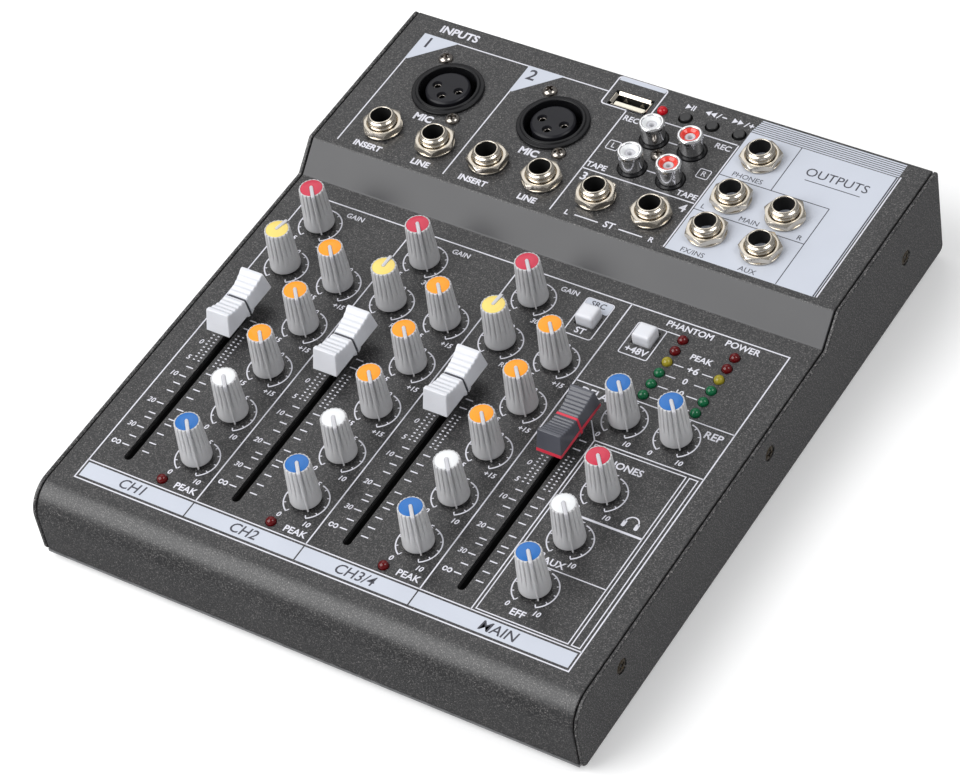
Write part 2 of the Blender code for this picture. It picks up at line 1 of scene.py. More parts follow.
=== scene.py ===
"""Looks of the tabletop mixing console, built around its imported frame.

The frame is in metres, +Z up, with the front edge towards -Y. Pieces are drawn in
millimetres and scaled when their mesh is made. Places "from the front" run back from the
case's front face, and heights "above a panel" start at its outer face.
"""

import json
import math

import bmesh
import bpy
from mathutils import Matrix, Vector

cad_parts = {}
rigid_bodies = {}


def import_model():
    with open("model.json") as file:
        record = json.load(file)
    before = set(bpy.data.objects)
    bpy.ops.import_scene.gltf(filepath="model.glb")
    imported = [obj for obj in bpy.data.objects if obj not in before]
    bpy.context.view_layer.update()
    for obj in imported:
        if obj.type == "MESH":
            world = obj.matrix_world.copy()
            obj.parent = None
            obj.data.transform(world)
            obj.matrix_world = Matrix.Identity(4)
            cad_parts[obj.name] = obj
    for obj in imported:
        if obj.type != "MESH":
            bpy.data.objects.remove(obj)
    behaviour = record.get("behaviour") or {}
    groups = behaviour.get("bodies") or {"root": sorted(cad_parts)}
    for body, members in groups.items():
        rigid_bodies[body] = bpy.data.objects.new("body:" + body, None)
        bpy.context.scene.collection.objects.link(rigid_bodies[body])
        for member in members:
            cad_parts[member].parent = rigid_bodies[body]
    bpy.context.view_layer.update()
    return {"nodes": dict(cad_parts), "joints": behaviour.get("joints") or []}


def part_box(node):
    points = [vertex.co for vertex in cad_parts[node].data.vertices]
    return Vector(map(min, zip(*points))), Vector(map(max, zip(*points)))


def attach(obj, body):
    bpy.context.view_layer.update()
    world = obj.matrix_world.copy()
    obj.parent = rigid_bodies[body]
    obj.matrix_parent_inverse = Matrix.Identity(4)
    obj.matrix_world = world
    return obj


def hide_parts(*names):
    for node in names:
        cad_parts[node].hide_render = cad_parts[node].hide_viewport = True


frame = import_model()

MM = 0.001
STEP = 9.0
SHEET = 1.2
GAP = 0.3
SEAM = 0.5
EDGE = 0.25
FRONT_BEND = 10.0
SMALL_BEND = 1.5
RAMP_START = 156.5
RAMP_END = 166.0
COVER_LIFT = 1.6
DRILL_REACH = 5.0
INLET_PLACE = (75.0, 6.0)
INLET_HOLE = 5.3
CHEEK_RECESS = (2.75, 0.5)
CHEEK_SCREWS = (26.5, 118.0, 209.5)
CHEEK_SCREW_Z = 18.4
FOOT_CORNER = 2.3
PANEL_LOW, PANEL_HIGH = (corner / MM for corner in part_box("right_side_panel"))
HALF_WIDTH = PANEL_HIGH.x
HALF_DEPTH = PANEL_HIGH.y
CASE_BASE = PANEL_LOW.z
CONNECTOR_Z = PANEL_HIGH.z
CONTROL_Z = CONNECTOR_Z - STEP
COVER_HALF = PANEL_LOW.x - SEAM

# The control grid that the printing follows
PITCH = 41.45
FADER_X = -79.4
FRAME_X = 90.6
FRAME_TOP = 149.6
FRAME_FOOT = 13.1
STRIP = (14.2, 20.0)
STRIP_TOP = 20.9
DIVIDERS = (-49.15, -7.7, 33.75)
DELAY_LINE = 114.05

# Knobs
KNOB_SKIRT = 1.2
KNOB_TOP = 17.4
KNOB_BASE_RADIUS = 5.1
KNOB_TOP_RADIUS = 4.25
FLUTES = 18
FLUTE_DEPTH = 0.42
DISC_RADIUS = 3.72
DISC_DEPTH = 0.55
RIB_HALF = 0.60
RIB_FOOT = 0.50
RIB_TIP = 0.26
RIB_RISE = 0.72
POINTER_END = 0.11

# Fader caps
SLOT_START = 25.8
SLOT_END = 97.4
SLOT_WIDTH = 2.9
CAP_BOTTOM = 5.4
CAP_TOP = 13.5
CAP_DIP = 3.0
CAP_BASE = (4.6, 12.3)
CAP_CREST = (4.4, 10.45)
CAP_WAIST = 0.75
CAP_LINE = 0.45
CAP_RIB_START = 0.7
CAP_RIBBED = 9.3
CAP_RIB_RISE = 0.32
CAP_BAND = 1.15
TOOTH = (1.9, 0.5, 1.25)
LEVER = (1.2, 4.0, 4.7)
FADERS = ("ch1_fader", "ch2_fader", "ch3_fader", "main_fader")
PUSH_BUTTONS = ("select_button", "phantom_button")
PLAYER_KEYS = ("play_button", "previous_button", "next_button")

# Sockets
NUT_CORNER = 7.25
WASHER_RADIUS = 6.7
NUT_TOP = 3.0
WASHER_TOP = 0.9
JACK_RISE = 6.0
JACK_BORE = 3.5
JACK_DEPTH = 22.0
BUSH_WALL = 3.7
BUSH_RADIUS = 4.75
BOARD_DROP = 27.8
JACK_HOLE = 4.6
XLR_HOLE = 11.4
RCA_HOLE = 5.15
KEY_HOLE = 2.5
SHAFT_HOLE = 3.6
BUTTON_HOLE = 7.4
USB_HOLE = (14.6, 7.2)
XLR_FLANGE = 12.5
XLR_BORE = 9.9
XLR_INSERT = 7.7
RCA_PITCH = 14.4
USB_SHELL = (13.1, 5.7)
USB_DEPTH = 12.0
PIN_PLACES = ((-4.1, -0.1), (4.3, -0.1), (0.0, -4.0))
INLET_DEPTH = -8.0

# Lamps, placed in x and from the front
LAMP_RADIUS = 1.7
LAMP_RISE = 1.75
LAMP_GAP = 0.2
LAMP_LADDER = ("red", "red", "yellow", "green", "green", "green")
METER_COLUMNS = (("left", 56.4), ("right", 75.05))
METER_TOP = 142.3
METER_PITCH = 5.066
PEAK_LAMP = (-64.0, 23.9)
PLAYER_LAMP = (4.15, 223.2, 1.75)

# Printing: thickness, line widths and lettering
INK = 0.03
LAYER = 0.012
BORDER = 0.46
RULE = 0.42
BOX = 0.38
TICK = 0.36
FINE = 0.3
CAPITAL = 0.70
SLANT = 0.15
BOLD = 0.03
SCALE_RADIUS = 7.3
SCALE_SPAN = 150
CORNER_X = 52.0
CORNER_Y = 94.4
PHONES_BOX = (53.2, 85.2)
STRIPE_BOX = (86.4, 89.3)
BOX_ENDS = (21.9, 93.1)
METER_LINES = (132.3, 127.2, 122.2, 117.1)
CONNECTOR_FOOT = 168.5
FIELD = (36.0, 89.9, 168.4, 226.0)
OUTPUT_RIGHT = 76.1
OUTPUT_TOP = 204.7
HEADPHONES = (79.2, 70.0)

# Studio: each light's way from the aim, its size in metres and its power
LIGHTS = (("key_box", (-0.45, -0.50, 0.74), 1.40, 25.5),
          ("back_box", (-0.43, 0.52, 0.73), 1.00, 3.0),
          ("right_box", (0.55, 0.18, 0.80), 0.64, 6.0))
LIGHT_REACH = 1.5
AIM = (0.0, 0.0, 0.02)
FLOOR = ((0, 0), (600.0, 0.0), (1500.0, 0.0), (2600.0, 250.0), (3200.0, 1100.0))
CAMERA_RIGHT = (0.84445, 0.51755, -0.13798)
CAMERA_UP = (-0.30473, 0.67606, 0.67088)
CAMERA_PLACE = (0.515891, -0.623990, 0.868495)
LENS = 137.65


# ---------------------------------------------------------------- materials

def finish(name, colour, roughness, metallic=0.0, grain=(0.25, 0.01), mottle=0.10, cloud=9.0,
           flecks=(), above=None, sockets=()):
    """A Principled material with clouded colour and roughness, a fine bump and, if asked, flecks.

    grain is the bump's (size, depth), mottle the share that the colour varies by, cloud the
    size of those clouds, and each fleck (size, amount, colour); sizes are in millimetres.
    above is (height, colour) for a piece that has another colour above that height.
    """
    made = bpy.data.materials.new(name)
    made.use_nodes = True
    nodes, links = made.node_tree.nodes, made.node_tree.links
    shader = nodes["Principled BSDF"]
    shader.inputs["Metallic"].default_value = metallic
    for socket, value in sockets:
        shader.inputs[socket].default_value = value
    place_of = nodes.new("ShaderNodeTexCoord").outputs["Object"]

    def noise(size, detail=3.0):
        made_noise = nodes.new("ShaderNodeTexNoise")
        made_noise.inputs["Scale"].default_value = 1.0 / (size * MM)
        made_noise.inputs["Detail"].default_value = detail
        links.new(place_of, made_noise.inputs["Vector"])
        return made_noise.outputs["Fac"]

    def ramp(value, *stops):
        made_ramp = nodes.new("ShaderNodeValToRGB")
        for element, (place, shade) in zip(made_ramp.color_ramp.elements, stops):
            element.position = place
            element.color = shade
        links.new(value, made_ramp.inputs["Fac"])
        return made_ramp.outputs["Color"]

    clouds = noise(cloud, 4.0)
    dim = (*(channel * (1 - mottle) for channel in colour), 1.0)
    bright = (*(min(1.0, channel * (1 + mottle)) for channel in colour), 1.0)
    tint = ramp(clouds, (0.35, dim), (0.65, bright))

    def mixed(share, under, over):
        mix = nodes.new("ShaderNodeMix")
        mix.data_type = "RGBA"
        links.new(share, mix.inputs["Factor"])
        links.new(under, mix.inputs["A"])
        mix.inputs["B"].default_value = (*over, 1.0)
        return mix.outputs["Result"]

    for size, amount, light in flecks:
        share = ramp(noise(size, 2.0), (1 - amount, (0, 0, 0, 1)), (1 - amount * 0.75, (1, 1, 1, 1)))
        tint = mixed(share, tint, light)
    if above:
        height, upper = above
        split = nodes.new("ShaderNodeSeparateXYZ")
        links.new(place_of, split.inputs["Vector"])
        over = nodes.new("ShaderNodeMath")
        over.operation = "GREATER_THAN"
        over.inputs[1].default_value = height * MM
        links.new(split.outputs["Z"], over.inputs[0])
        tint = mixed(over.outputs["Value"], tint, upper)
    links.new(tint, shader.inputs["Base Color"])

    spread = nodes.new("ShaderNodeMapRange")
    spread.inputs["To Min"].default_value = roughness * 0.88
    spread.inputs["To Max"].default_value = min(1.0, roughness * 1.12)
    links.new(clouds, spread.inputs["Value"])
    links.new(spread.outputs["Result"], shader.inputs["Roughness"])

    size, depth = grain
    bump = nodes.new("ShaderNodeBump")
    bump.inputs["Strength"].default_value = 1.0
    bump.inputs["Distance"].default_value = depth * MM
    links.new(noise(size, 2.0), bump.inputs["Height"])
    links.new(bump.outputs["Normal"], shader.inputs["Normal"])
    return made


def make_finishes():
    """Every material, by name."""
    gloss = (("Coat Weight", 0.6), ("Coat Roughness", 0.08))
    lens = (("Coat Weight", 0.2), ("Coat Roughness", 0.02), ("Specular IOR Level", 0.35))
    waxy = (("Subsurface Weight", 0.25), ("Subsurface Scale", 0.002), ("Subsurface Radius", (1.0, 0.9, 0.85)))
    laminate = (("Specular IOR Level", 0.35),)
    dull = (("Specular IOR Level", 0.22),)
    satin = (("Specular IOR Level", 0.36),)
    glow = (("Emission Color", (1.0, 1.0, 1.0, 1.0)), ("Emission Strength", 0.18))
    green = (0.02, 0.09, 0.04)
    light_green = ((1.6, 0.42, (0.035, 0.15, 0.06)),)
    upper = (0.008, 0.008, 0.008)
    board = {"roughness": 0.40, "grain": (0.6, 0.02), "mottle": 0.30, "cloud": 2.0, "flecks": light_green}
    charcoal = (0.022, 0.022, 0.023)
    coat = {"grain": (0.42, 0.011), "mottle": 0.12, "cloud": 14.0}
    cap = {"roughness": 0.24, "grain": (0.3, 0.004), "mottle": 0.05}
    soft = {"roughness": 0.30, "grain": (0.3, 0.004), "mottle": 0.03, "sockets": waxy}
    glass = {"roughness": 0.09, "grain": (0.8, 0.004), "mottle": 0.2, "cloud": 1.5, "sockets": lens}
    print_grain = (0.42, 0.006)
    return {
        "coat": finish("powder_coat_charcoal", charcoal, 0.36, **coat,
                       flecks=((0.50, 0.48, (0.075, 0.073, 0.073)), (0.40, 0.39, (0.20, 0.19, 0.185)))),
        # Side coat: the same charcoal with lighter flecks than the top's, painted light that brightens the
        # less-lit sides.
        "cheek": finish("powder_coat_side_painted_light", charcoal, 0.38, **coat, sockets=satin,
                        flecks=((0.50, 0.48, (0.12, 0.117, 0.117)), (0.40, 0.39, (0.38, 0.36, 0.35)))),
        # Ramp coat: the charcoal made lighter and smooth, a painted highlight of the key light's reflection
        # on the ramp.
        "ramp": finish("powder_coat_ramp_painted_highlight", (0.040, 0.040, 0.043), 0.36, grain=(0.42, 0.004), mottle=0.02,
                       cloud=14.0),
        "ink": finish("print_white", (0.66, 0.66, 0.72), 0.42, grain=print_grain, mottle=0.04),
        "pale": finish("print_pale", (0.53, 0.56, 0.63), 0.42, grain=print_grain, mottle=0.02,
                       cloud=25.0, sockets=laminate),
        "dark": finish("print_dark", (0.045, 0.046, 0.06), 0.45, grain=print_grain, mottle=0.08),
        "zinc": finish("zinc_plated_steel", (0.45, 0.45, 0.46), 0.38, 0.9, grain=(2.5, 0.02),
                       mottle=0.18, cloud=4.0),
        "rubber": finish("rubber_black", (0.015, 0.015, 0.015), 0.85, grain=(0.3, 0.04)),
        "knob": finish("knob_plastic_grey", (0.53, 0.53, 0.54), 0.30, grain=(0.18, 0.005),
                       mottle=0.05, sockets=waxy),
        "pointer": finish("pointer_plastic", (0.54, 0.54, 0.57), 0.38, grain=(0.18, 0.005),
                          mottle=0.04, sockets=waxy),
        "red": finish("cap_plastic_red", (0.54, 0.034, 0.070), **cap),
        "yellow": finish("cap_plastic_yellow", (0.80, 0.62, 0.16), **cap),
        "orange": finish("cap_plastic_orange", (0.90, 0.31, 0.010), **cap),
        "blue": finish("cap_plastic_blue", (0.018, 0.14, 0.44), **cap),
        "white": finish("cap_plastic_white", (0.80, 0.81, 0.82), **soft),
        "cap": finish("fader_plastic_white", (0.69, 0.70, 0.74), **soft),
        "slate": finish("cap_plastic_slate", (0.078, 0.081, 0.098), 0.19, grain=(0.3, 0.005), mottle=0.08),
        "line_red": finish("line_red", (0.62, 0.03, 0.06), 0.34, grain=(0.3, 0.005), mottle=0.06),
        "black": finish("socket_plastic_black", (0.008, 0.008, 0.009), 0.26, grain=(0.5, 0.003),
                        mottle=0.15, sockets=dull),
        "key": finish("key_plastic_black", (0.019, 0.019, 0.020), 0.30, grain=(0.4, 0.005), mottle=0.10),
        "insert": finish("insert_plastic_black", (0.012, 0.012, 0.015), 0.30, grain=(0.35, 0.005),
                         mottle=0.12, sockets=dull),
        # Near-black: the real black plastic of the jack bores and bodies, and painted shade inside the USB
        # shell.
        "black_and_painted_shade": finish("bore_black_and_painted_shade", (0.004, 0.004, 0.004), 0.7, grain=(0.4, 0.02)),
        "nickel": finish("nickel_plate", (0.66, 0.605, 0.52), 0.21, 1.0, grain=(1.2, 0.006),
                         mottle=0.08, cloud=3.0),
        "chrome": finish("chrome_plate", (0.86, 0.86, 0.87), 0.15, 1.0, grain=(1.5, 0.003),
                         mottle=0.05, cloud=3.0),
        "steel": finish("screw_steel_dark", (0.36, 0.33, 0.30), 0.20, 1.0, grain=(0.6, 0.008), mottle=0.2,
                        cloud=1.5),
        "bronze": finish("screw_bronze", (0.11, 0.085, 0.055), 0.26, 1.0, grain=(0.6, 0.01),
                         mottle=0.25, cloud=1.5),
        "cream": finish("tongue_cream", (0.84, 0.80, 0.68), 0.45, grain=(0.3, 0.008), mottle=0.05),
        "plug_red": finish("insulator_red", (0.72, 0.035, 0.02), 0.22, grain=(0.4, 0.003),
                           mottle=0.06, sockets=gloss),
        "lens_red": finish("lens_red", (0.10, 0.001, 0.002), **glass),
        # A lighter red lens for the player's lamp: the same red lens with a painted highlight.
        "lens_bright": finish("lens_bright", (0.48, 0.006, 0.014), **glass),
        "lens_yellow": finish("lens_yellow", (0.30, 0.25, 0.02), **glass),
        "lens_green": finish("lens_green", (0.003, 0.11, 0.04), **glass),
        "control_board": finish("control_board_green", green, above=(21.3, upper), **board),
        "connector_board": finish("connector_board_green", green, above=(10.5, upper), **board),
        "floor": finish("studio_floor", (0.88, 0.88, 0.88), 0.65, grain=(3.0, 0.02), mottle=0.01,
                        cloud=80.0, sockets=glow),
    }


# ---------------------------------------------------------------- shapes, in millimetres

def front(distance):
    """y of a place given from the front face."""
    return distance - HALF_DEPTH


def smooth_share(low, high, value):
    """0 below low, 1 above high and an even curve between."""
    share = min(1.0, max(0.0, (value - low) / (high - low)))
    return share * share * (3 - 2 * share)


def eased(corners, steps=4, hold=0.3):
    """A path through corners (across, up), each rounded where it names a radius too.

    A point just outside each rounding holds the shading of the straight beside it flat.
    """
    points = []
    for i, corner in enumerate(corners):
        here = Vector(corner[:2])
        if len(corner) < 3:
            points.append(here)
            continue
        before = Vector(corners[i - 1][:2]) - here
        after = Vector(corners[(i + 1) % len(corners)][:2]) - here
        half = before.angle(after) / 2
        reach = min(corner[2] / math.tan(half), 0.48 * before.length, 0.48 * after.length)
        before_way, after_way = before.normalized(), after.normalized()
        centre = here + (before_way + after_way).normalized() * (reach / math.cos(half))
        start = here + before_way * reach - centre
        sweep = math.pi - 2 * half
        if before.x * after.y - before.y * after.x > 0:
            sweep = -sweep
        if reach * (1 + hold) < 0.5 * before.length:
            points.append(here + before_way * reach * (1 + hold))
        for step in range(steps + 1):
            points.append(centre + Matrix.Rotation(sweep * step / steps, 2) @ start)
        if reach * (1 + hold) < 0.5 * after.length:
            points.append(here + after_way * reach * (1 + hold))
    return points


def loft(shape, rings, closed=False, index=0):
    """Faces between closed rings of points, capped, or joined last to first if closed."""
    rows = [[shape.verts.new(point) for point in ring] for ring in rings]
    if closed:
        rows.append(rows[0])
    count = len(rows[0])
    faces = []
    for low, high in zip(rows, rows[1:]):
        for i in range(count):
            j = (i + 1) % count
            faces.append(shape.faces.new((low[i], low[j], high[j], high[i])))
    if not closed:
        faces.append(shape.faces.new(rows[0]))
        faces.append(shape.faces.new(rows[-1]))
    for face in faces:
        face.material_index = index


def revolve(shape, profile, at=(0, 0, 0), steps=48, closed=False, index=0):
    """A turned shape from a profile of (radius, height); radius 0 is a single point on the axis."""
    x, y, z = at
    rows = []
    for radius, height in profile:
        ring = circle(radius, steps if radius > 1e-6 else 1, x, y)
        rows.append([shape.verts.new((*point, z + height)) for point in ring])
    if closed:
        rows.append(rows[0])
    for low, high in zip(rows, rows[1:]):
        for i in range(steps):
            ring = (low[i % len(low)], low[(i + 1) % len(low)],
                    high[(i + 1) % len(high)], high[i % len(high)])
            corners = list(dict.fromkeys(ring))
            if len(corners) > 2:
                shape.faces.new(corners).material_index = index


def even_turns(count, offset=0.0):
    """Turns at even steps round a circle, the first one offset by a share of a step."""
    return [math.tau * (i + offset) / count for i in range(count)]


def circle(radius, count, x=0.0, y=0.0, offset=0.0):
    """Points at even steps round a circle."""
    return [(x + radius * math.cos(turn), y + radius * math.sin(turn))
            for turn in even_turns(count, offset)]


def rectangle(width, depth, radius, steps=4):
    """The outline of a rectangle with round corners, about the origin."""
    points = []
    for corner in range(4):
        sign_x = 1 if corner in (0, 3) else -1
        sign_y = 1 if corner < 2 else -1
        for step in range(steps + 1):
            turn = math.pi / 2 * (corner + step / steps)
            points.append((sign_x * (width / 2 - radius) + radius * math.cos(turn),
                           sign_y * (depth / 2 - radius) + radius * math.sin(turn)))
    return points


def pillow(shape, width, depth, radius, profile, at=(0, 0, 0), index=0):
    """A solid whose level outlines are round-cornered rectangles, inset as the profile says."""
    rings = []
    for inset, height in profile:
        outline = rectangle(width - 2 * inset, depth - 2 * inset, max(radius - inset, 0.02))
        rings.append([(at[0] + x, at[1] + y, at[2] + height) for x, y in outline])
    loft(shape, rings, index=index)


def block(shape, size, centre, index=0):
    """A plain box with barely broken edges, for bodies inside the case."""
    width, depth, height = size
    bottom = centre[2] - height / 2
    pillow(shape, width, depth, 0.3, ((0.2, 0), (0, 0.2), (0, height - 0.2), (0.2, height)),
           (centre[0], centre[1], bottom), index)


def smoothed(mesh, angle):
    """Smooth shading with sharp edges past an angle in degrees."""
    mesh.shade_smooth()
    mesh.set_sharp_from_angle(angle=math.radians(angle))


def mesh_of(name, build, *finishes, angle=32):
    """A mesh in metres from a function that draws in millimetres."""
    shape = bmesh.new()
    build(shape)
    bmesh.ops.recalc_face_normals(shape, faces=shape.faces[:])
    bmesh.ops.scale(shape, vec=(MM, MM, MM), verts=shape.verts[:])
    mesh = bpy.data.meshes.new(name)
    shape.to_mesh(mesh)
    shape.free()
    for item in finishes:
        mesh.materials.append(item)
    smoothed(mesh, angle)
    return mesh


def carved(mesh, build, angle=32):
    """The mesh with the solids that a function draws taken out of it."""
    scene = bpy.context.scene.collection.objects
    target = bpy.data.objects.new("carve_target", mesh)
    cutter = bpy.data.objects.new("carve_cutter", mesh_of("carve_cutter", build))
    scene.link(target)
    scene.link(cutter)
    step = target.modifiers.new("carve", "BOOLEAN")
    step.operation = "DIFFERENCE"
    step.solver = "EXACT"
    step.object = cutter
    bpy.context.view_layer.update()
    seen = target.evaluated_get(bpy.context.evaluated_depsgraph_get())
    result = bpy.data.meshes.new_from_object(seen)
    result.name = mesh.name
    bpy.data.objects.remove(target)
    bpy.data.objects.remove(cutter)
    smoothed(result, angle)
    return result


def place(name, mesh, slot, body="root", at=(0, 0, 0), turn=0.0, tilt=None, stands_for=()):
    """An object of the mesh at a place in millimetres, riding on a body."""
    made = bpy.data.objects.new(name, mesh)
    bpy.context.scene.collection.objects.link(made)
    made.matrix_world = (Matrix.Translation(Vector(at) * MM)
                         @ (tilt or Matrix.Identity(4)) @ Matrix.Rotation(turn, 4, "Z"))
    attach(made, body)
    if stands_for:
        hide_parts(*stands_for)
    return made


def middle(node):
    """The middle of a node's box as seen from above, in millimetres."""
    low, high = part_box(node)
    return (low.x + high.x) / 2 / MM, (low.y + high.y) / 2 / MM


# ---------------------------------------------------------------- case

def case_path(bottom, inset=0.0, foot=0.0):
    """The case's outer side view from the front wall's foot over to the back wall's foot."""
    low, high = CONTROL_Z - inset, CONNECTOR_Z - inset
    near, far = front(inset), front(2 * HALF_DEPTH - inset)
    feet = [(near, bottom, foot), (far, bottom, foot)] if foot else [(near, bottom), (far, bottom)]
    return eased([
        feet[0], (near, low, FRONT_BEND - inset),
        (front(RAMP_START) + inset * 0.4, low, SMALL_BEND + inset),
        (front(RAMP_END) + inset * 0.4, high, SMALL_BEND - inset),
        (far, high, SMALL_BEND - inset), feet[1]], steps=12, hold=0.12)


def cover_sheet(shape):
    """The folded sheet, with its side edges barely broken; its ramp faces take the lighter ramp finish, a
    painted highlight.
    """
    foot = CASE_BASE + COVER_LIFT
    outer, edge, inner = (case_path(foot, inset) for inset in (0.0, EDGE, SHEET))
    rings = []
    for x, skin in ((-COVER_HALF, edge), (-COVER_HALF + EDGE, outer),
                    (COVER_HALF - EDGE, outer), (COVER_HALF, edge)):
        rings.append([(x, y, z) for y, z in [*skin, *reversed(inner)]])
    loft(shape, rings)
    for face in shape.faces:
        place_of = face.calc_center_median()
        # Ramp faces take the lighter finish that carries the painted highlight.
        if CONTROL_Z < place_of.z < CONNECTOR_Z - 0.4 and front(RAMP_START) < place_of.y < front(RAMP_END):
            face.material_index = 1


def cheek_recesses(shape):
    """Cutters for the shallow round recesses that the cheek's screws sit in."""
    radius, depth = CHEEK_RECESS
    for along in CHEEK_SCREWS:
        ring = circle(radius, 40, front(along), CASE_BASE + CHEEK_SCREW_Z)
        loft(shape, [[(x, *point) for point in ring] for x in (HALF_WIDTH - depth, HALF_WIDTH + 1.0)])


def slot_outline(width, start, end, x):
    """A long hole with round ends, from start to end in y."""
    half, steps = width / 2, 10
    points = []
    for step in range(2 * steps + 2):
        turn = math.pi * (step - (step > steps)) / steps
        y = end - half if step <= steps else start + half
        points.append((x + half * math.cos(turn), y + half * math.sin(turn)))
    return points


def cover_holes(shape):
    """Cutters for every hole in the cover, placed from the nodes that come through it."""
    def drill(place_of, radius, z, steps=40):
        low, high = z - DRILL_REACH, z + DRILL_REACH
        revolve(shape, [(0, low), (radius, low), (radius, high), (0, high)], (*place_of, 0), steps)

    def punch(place_of, width, depth, radius, z):
        pillow(shape, width, depth, radius, ((0, -DRILL_REACH), (0, DRILL_REACH)), (*place_of, z))

    for node in frame["nodes"]:
        if node.endswith("_jack"):
            drill(middle(node), JACK_HOLE, CONNECTOR_Z)
        elif node.startswith("xlr_socket"):
            drill(middle(node), XLR_HOLE, CONNECTOR_Z)
        elif node in PLAYER_KEYS:
            drill(middle(node), KEY_HOLE, CONNECTOR_Z)
        elif node in PUSH_BUTTONS:
            punch(middle(node), BUTTON_HOLE, BUTTON_HOLE, 0.4, CONTROL_Z)
    for joint in frame["joints"]:
        if joint["type"] == "hinge":
            x, y, z = (value / MM for value in joint["pos_m"])
            drill((x, y), SHAFT_HOLE, z, 24)
    for channel in range(4):
        outline = slot_outline(SLOT_WIDTH, front(SLOT_START), front(SLOT_END),
                               FADER_X + channel * PITCH)
        loft(shape, [[(x, y, CONTROL_Z + z) for x, y in outline] for z in (-DRILL_REACH, DRILL_REACH)])
    for place_of in rca_places():
        drill(place_of, RCA_HOLE, CONNECTOR_Z)
    for _, _, x, along, z, radius in lamp_places():
        drill((x, front(along)), radius + LAMP_GAP, z, 32)
    punch(middle("usb_port"), *USB_HOLE, 0.3, CONNECTOR_Z)
    ring = circle(INLET_HOLE, 40, *inlet_place())
    loft(shape, [[(x, HALF_DEPTH + y, z) for x, z in ring] for y in (-DRILL_REACH, DRILL_REACH)])


def inlet_place():
    """x and z of the power inlet's axis in the back wall."""
    x, above_board = INLET_PLACE
    return x, CONNECTOR_Z - BOARD_DROP + above_board


def cheek(shape):
    """The right side panel: a plate of the case's side view with barely broken edges."""
    inner, outer = PANEL_LOW.x, PANEL_HIGH.x
    full = case_path(CASE_BASE, foot=FOOT_CORNER)
    edge = case_path(CASE_BASE + EDGE, EDGE, FOOT_CORNER - EDGE)
    loft(shape, [[(x, y, z) for y, z in path] for x, path in (
        (inner, edge), (inner + EDGE, full), (outer - EDGE, full), (outer, edge))])


def foot_mesh(shape):
    """A round rubber foot with a recess for its screw, drawn from the surface it stands on."""
    revolve(shape, eased([(0, 2.7), (5.6, 2.7, 0.2), (6.0, 0, 0.6), (2.6, 0, 0.3), (2.2, 1.3, 0.2),
                          (0, 1.3)]), steps=40)


def make_case(kit):
    cover = carved(mesh_of("case_cover", cover_sheet, kit["coat"], kit["ramp"]), cover_holes)
    place("case_cover", cover, "powder_coat", stands_for=["top_cover"])
    right = carved(mesh_of("cheek", cheek, kit["cheek"]), cheek_recesses)
    place("right_cheek", right, "powder_coat", stands_for=["right_side_panel"])
    left = right.copy()
    left.transform(Matrix.Scale(-1, 4, (1, 0, 0)))
    left.flip_normals()
    place("left_cheek", left, "powder_coat", stands_for=["left_side_panel"])
    foot = mesh_of("foot", foot_mesh, kit["rubber"])
    for node in ("front_left_foot", "front_right_foot", "rear_left_foot", "rear_right_foot"):
        place(f"{node}_pad", foot, "rubber", at=(*middle(node), 0), stands_for=[node])
    for node, item in (("bottom_pan", "zinc"), ("control_board", "control_board"),
                       ("connector_board", "connector_board")):
        slots = frame["nodes"][node].data.materials
        slots.clear()
        slots.append(kit[item])


# ---------------------------------------------------------------- screws

def screw_head(shape):
    """A domed pan head of radius 2.55 about its axis, its seat at height 0."""
    turns = [math.radians(degrees) for degrees in range(0, 91, 10)]
    dome = [(2.55 * math.sin(turn), 0.35 + 1.5 * math.cos(turn)) for turn in turns]
    revolve(shape, [*dome, (2.5, 0.02), (1.2, 0.0), (1.2, -3.0), (0, -3.0)], steps=40)


def sunk_head(shape):
    """A countersunk head of radius 2.6 whose flat face is just above height 0."""
    revolve(shape, eased([(0, 0.45), (1.6, 0.40, 0.8), (2.6, 0.12, 0.1), (2.5, -0.1), (1.1, -1.4),
                          (1.1, -3.5), (0, -3.5)]), steps=40)


def cross_recess(shape, depth=1.3, height=2.0):
    """A Phillips cross that narrows as it goes down."""
    rings = []
    for z, long, wide in ((height - depth - 0.6, 0.7, 0.28), (height + 0.2, 1.75, 0.50)):
        arm = (Vector((long, -wide)), Vector((long, wide)), Vector((wide, wide)))
        ring = [Matrix.Rotation(math.pi / 2 * k, 2) @ point for k in range(4) for point in arm]
        rings.append([(x, y, z) for x, y in ring])
    loft(shape, rings)


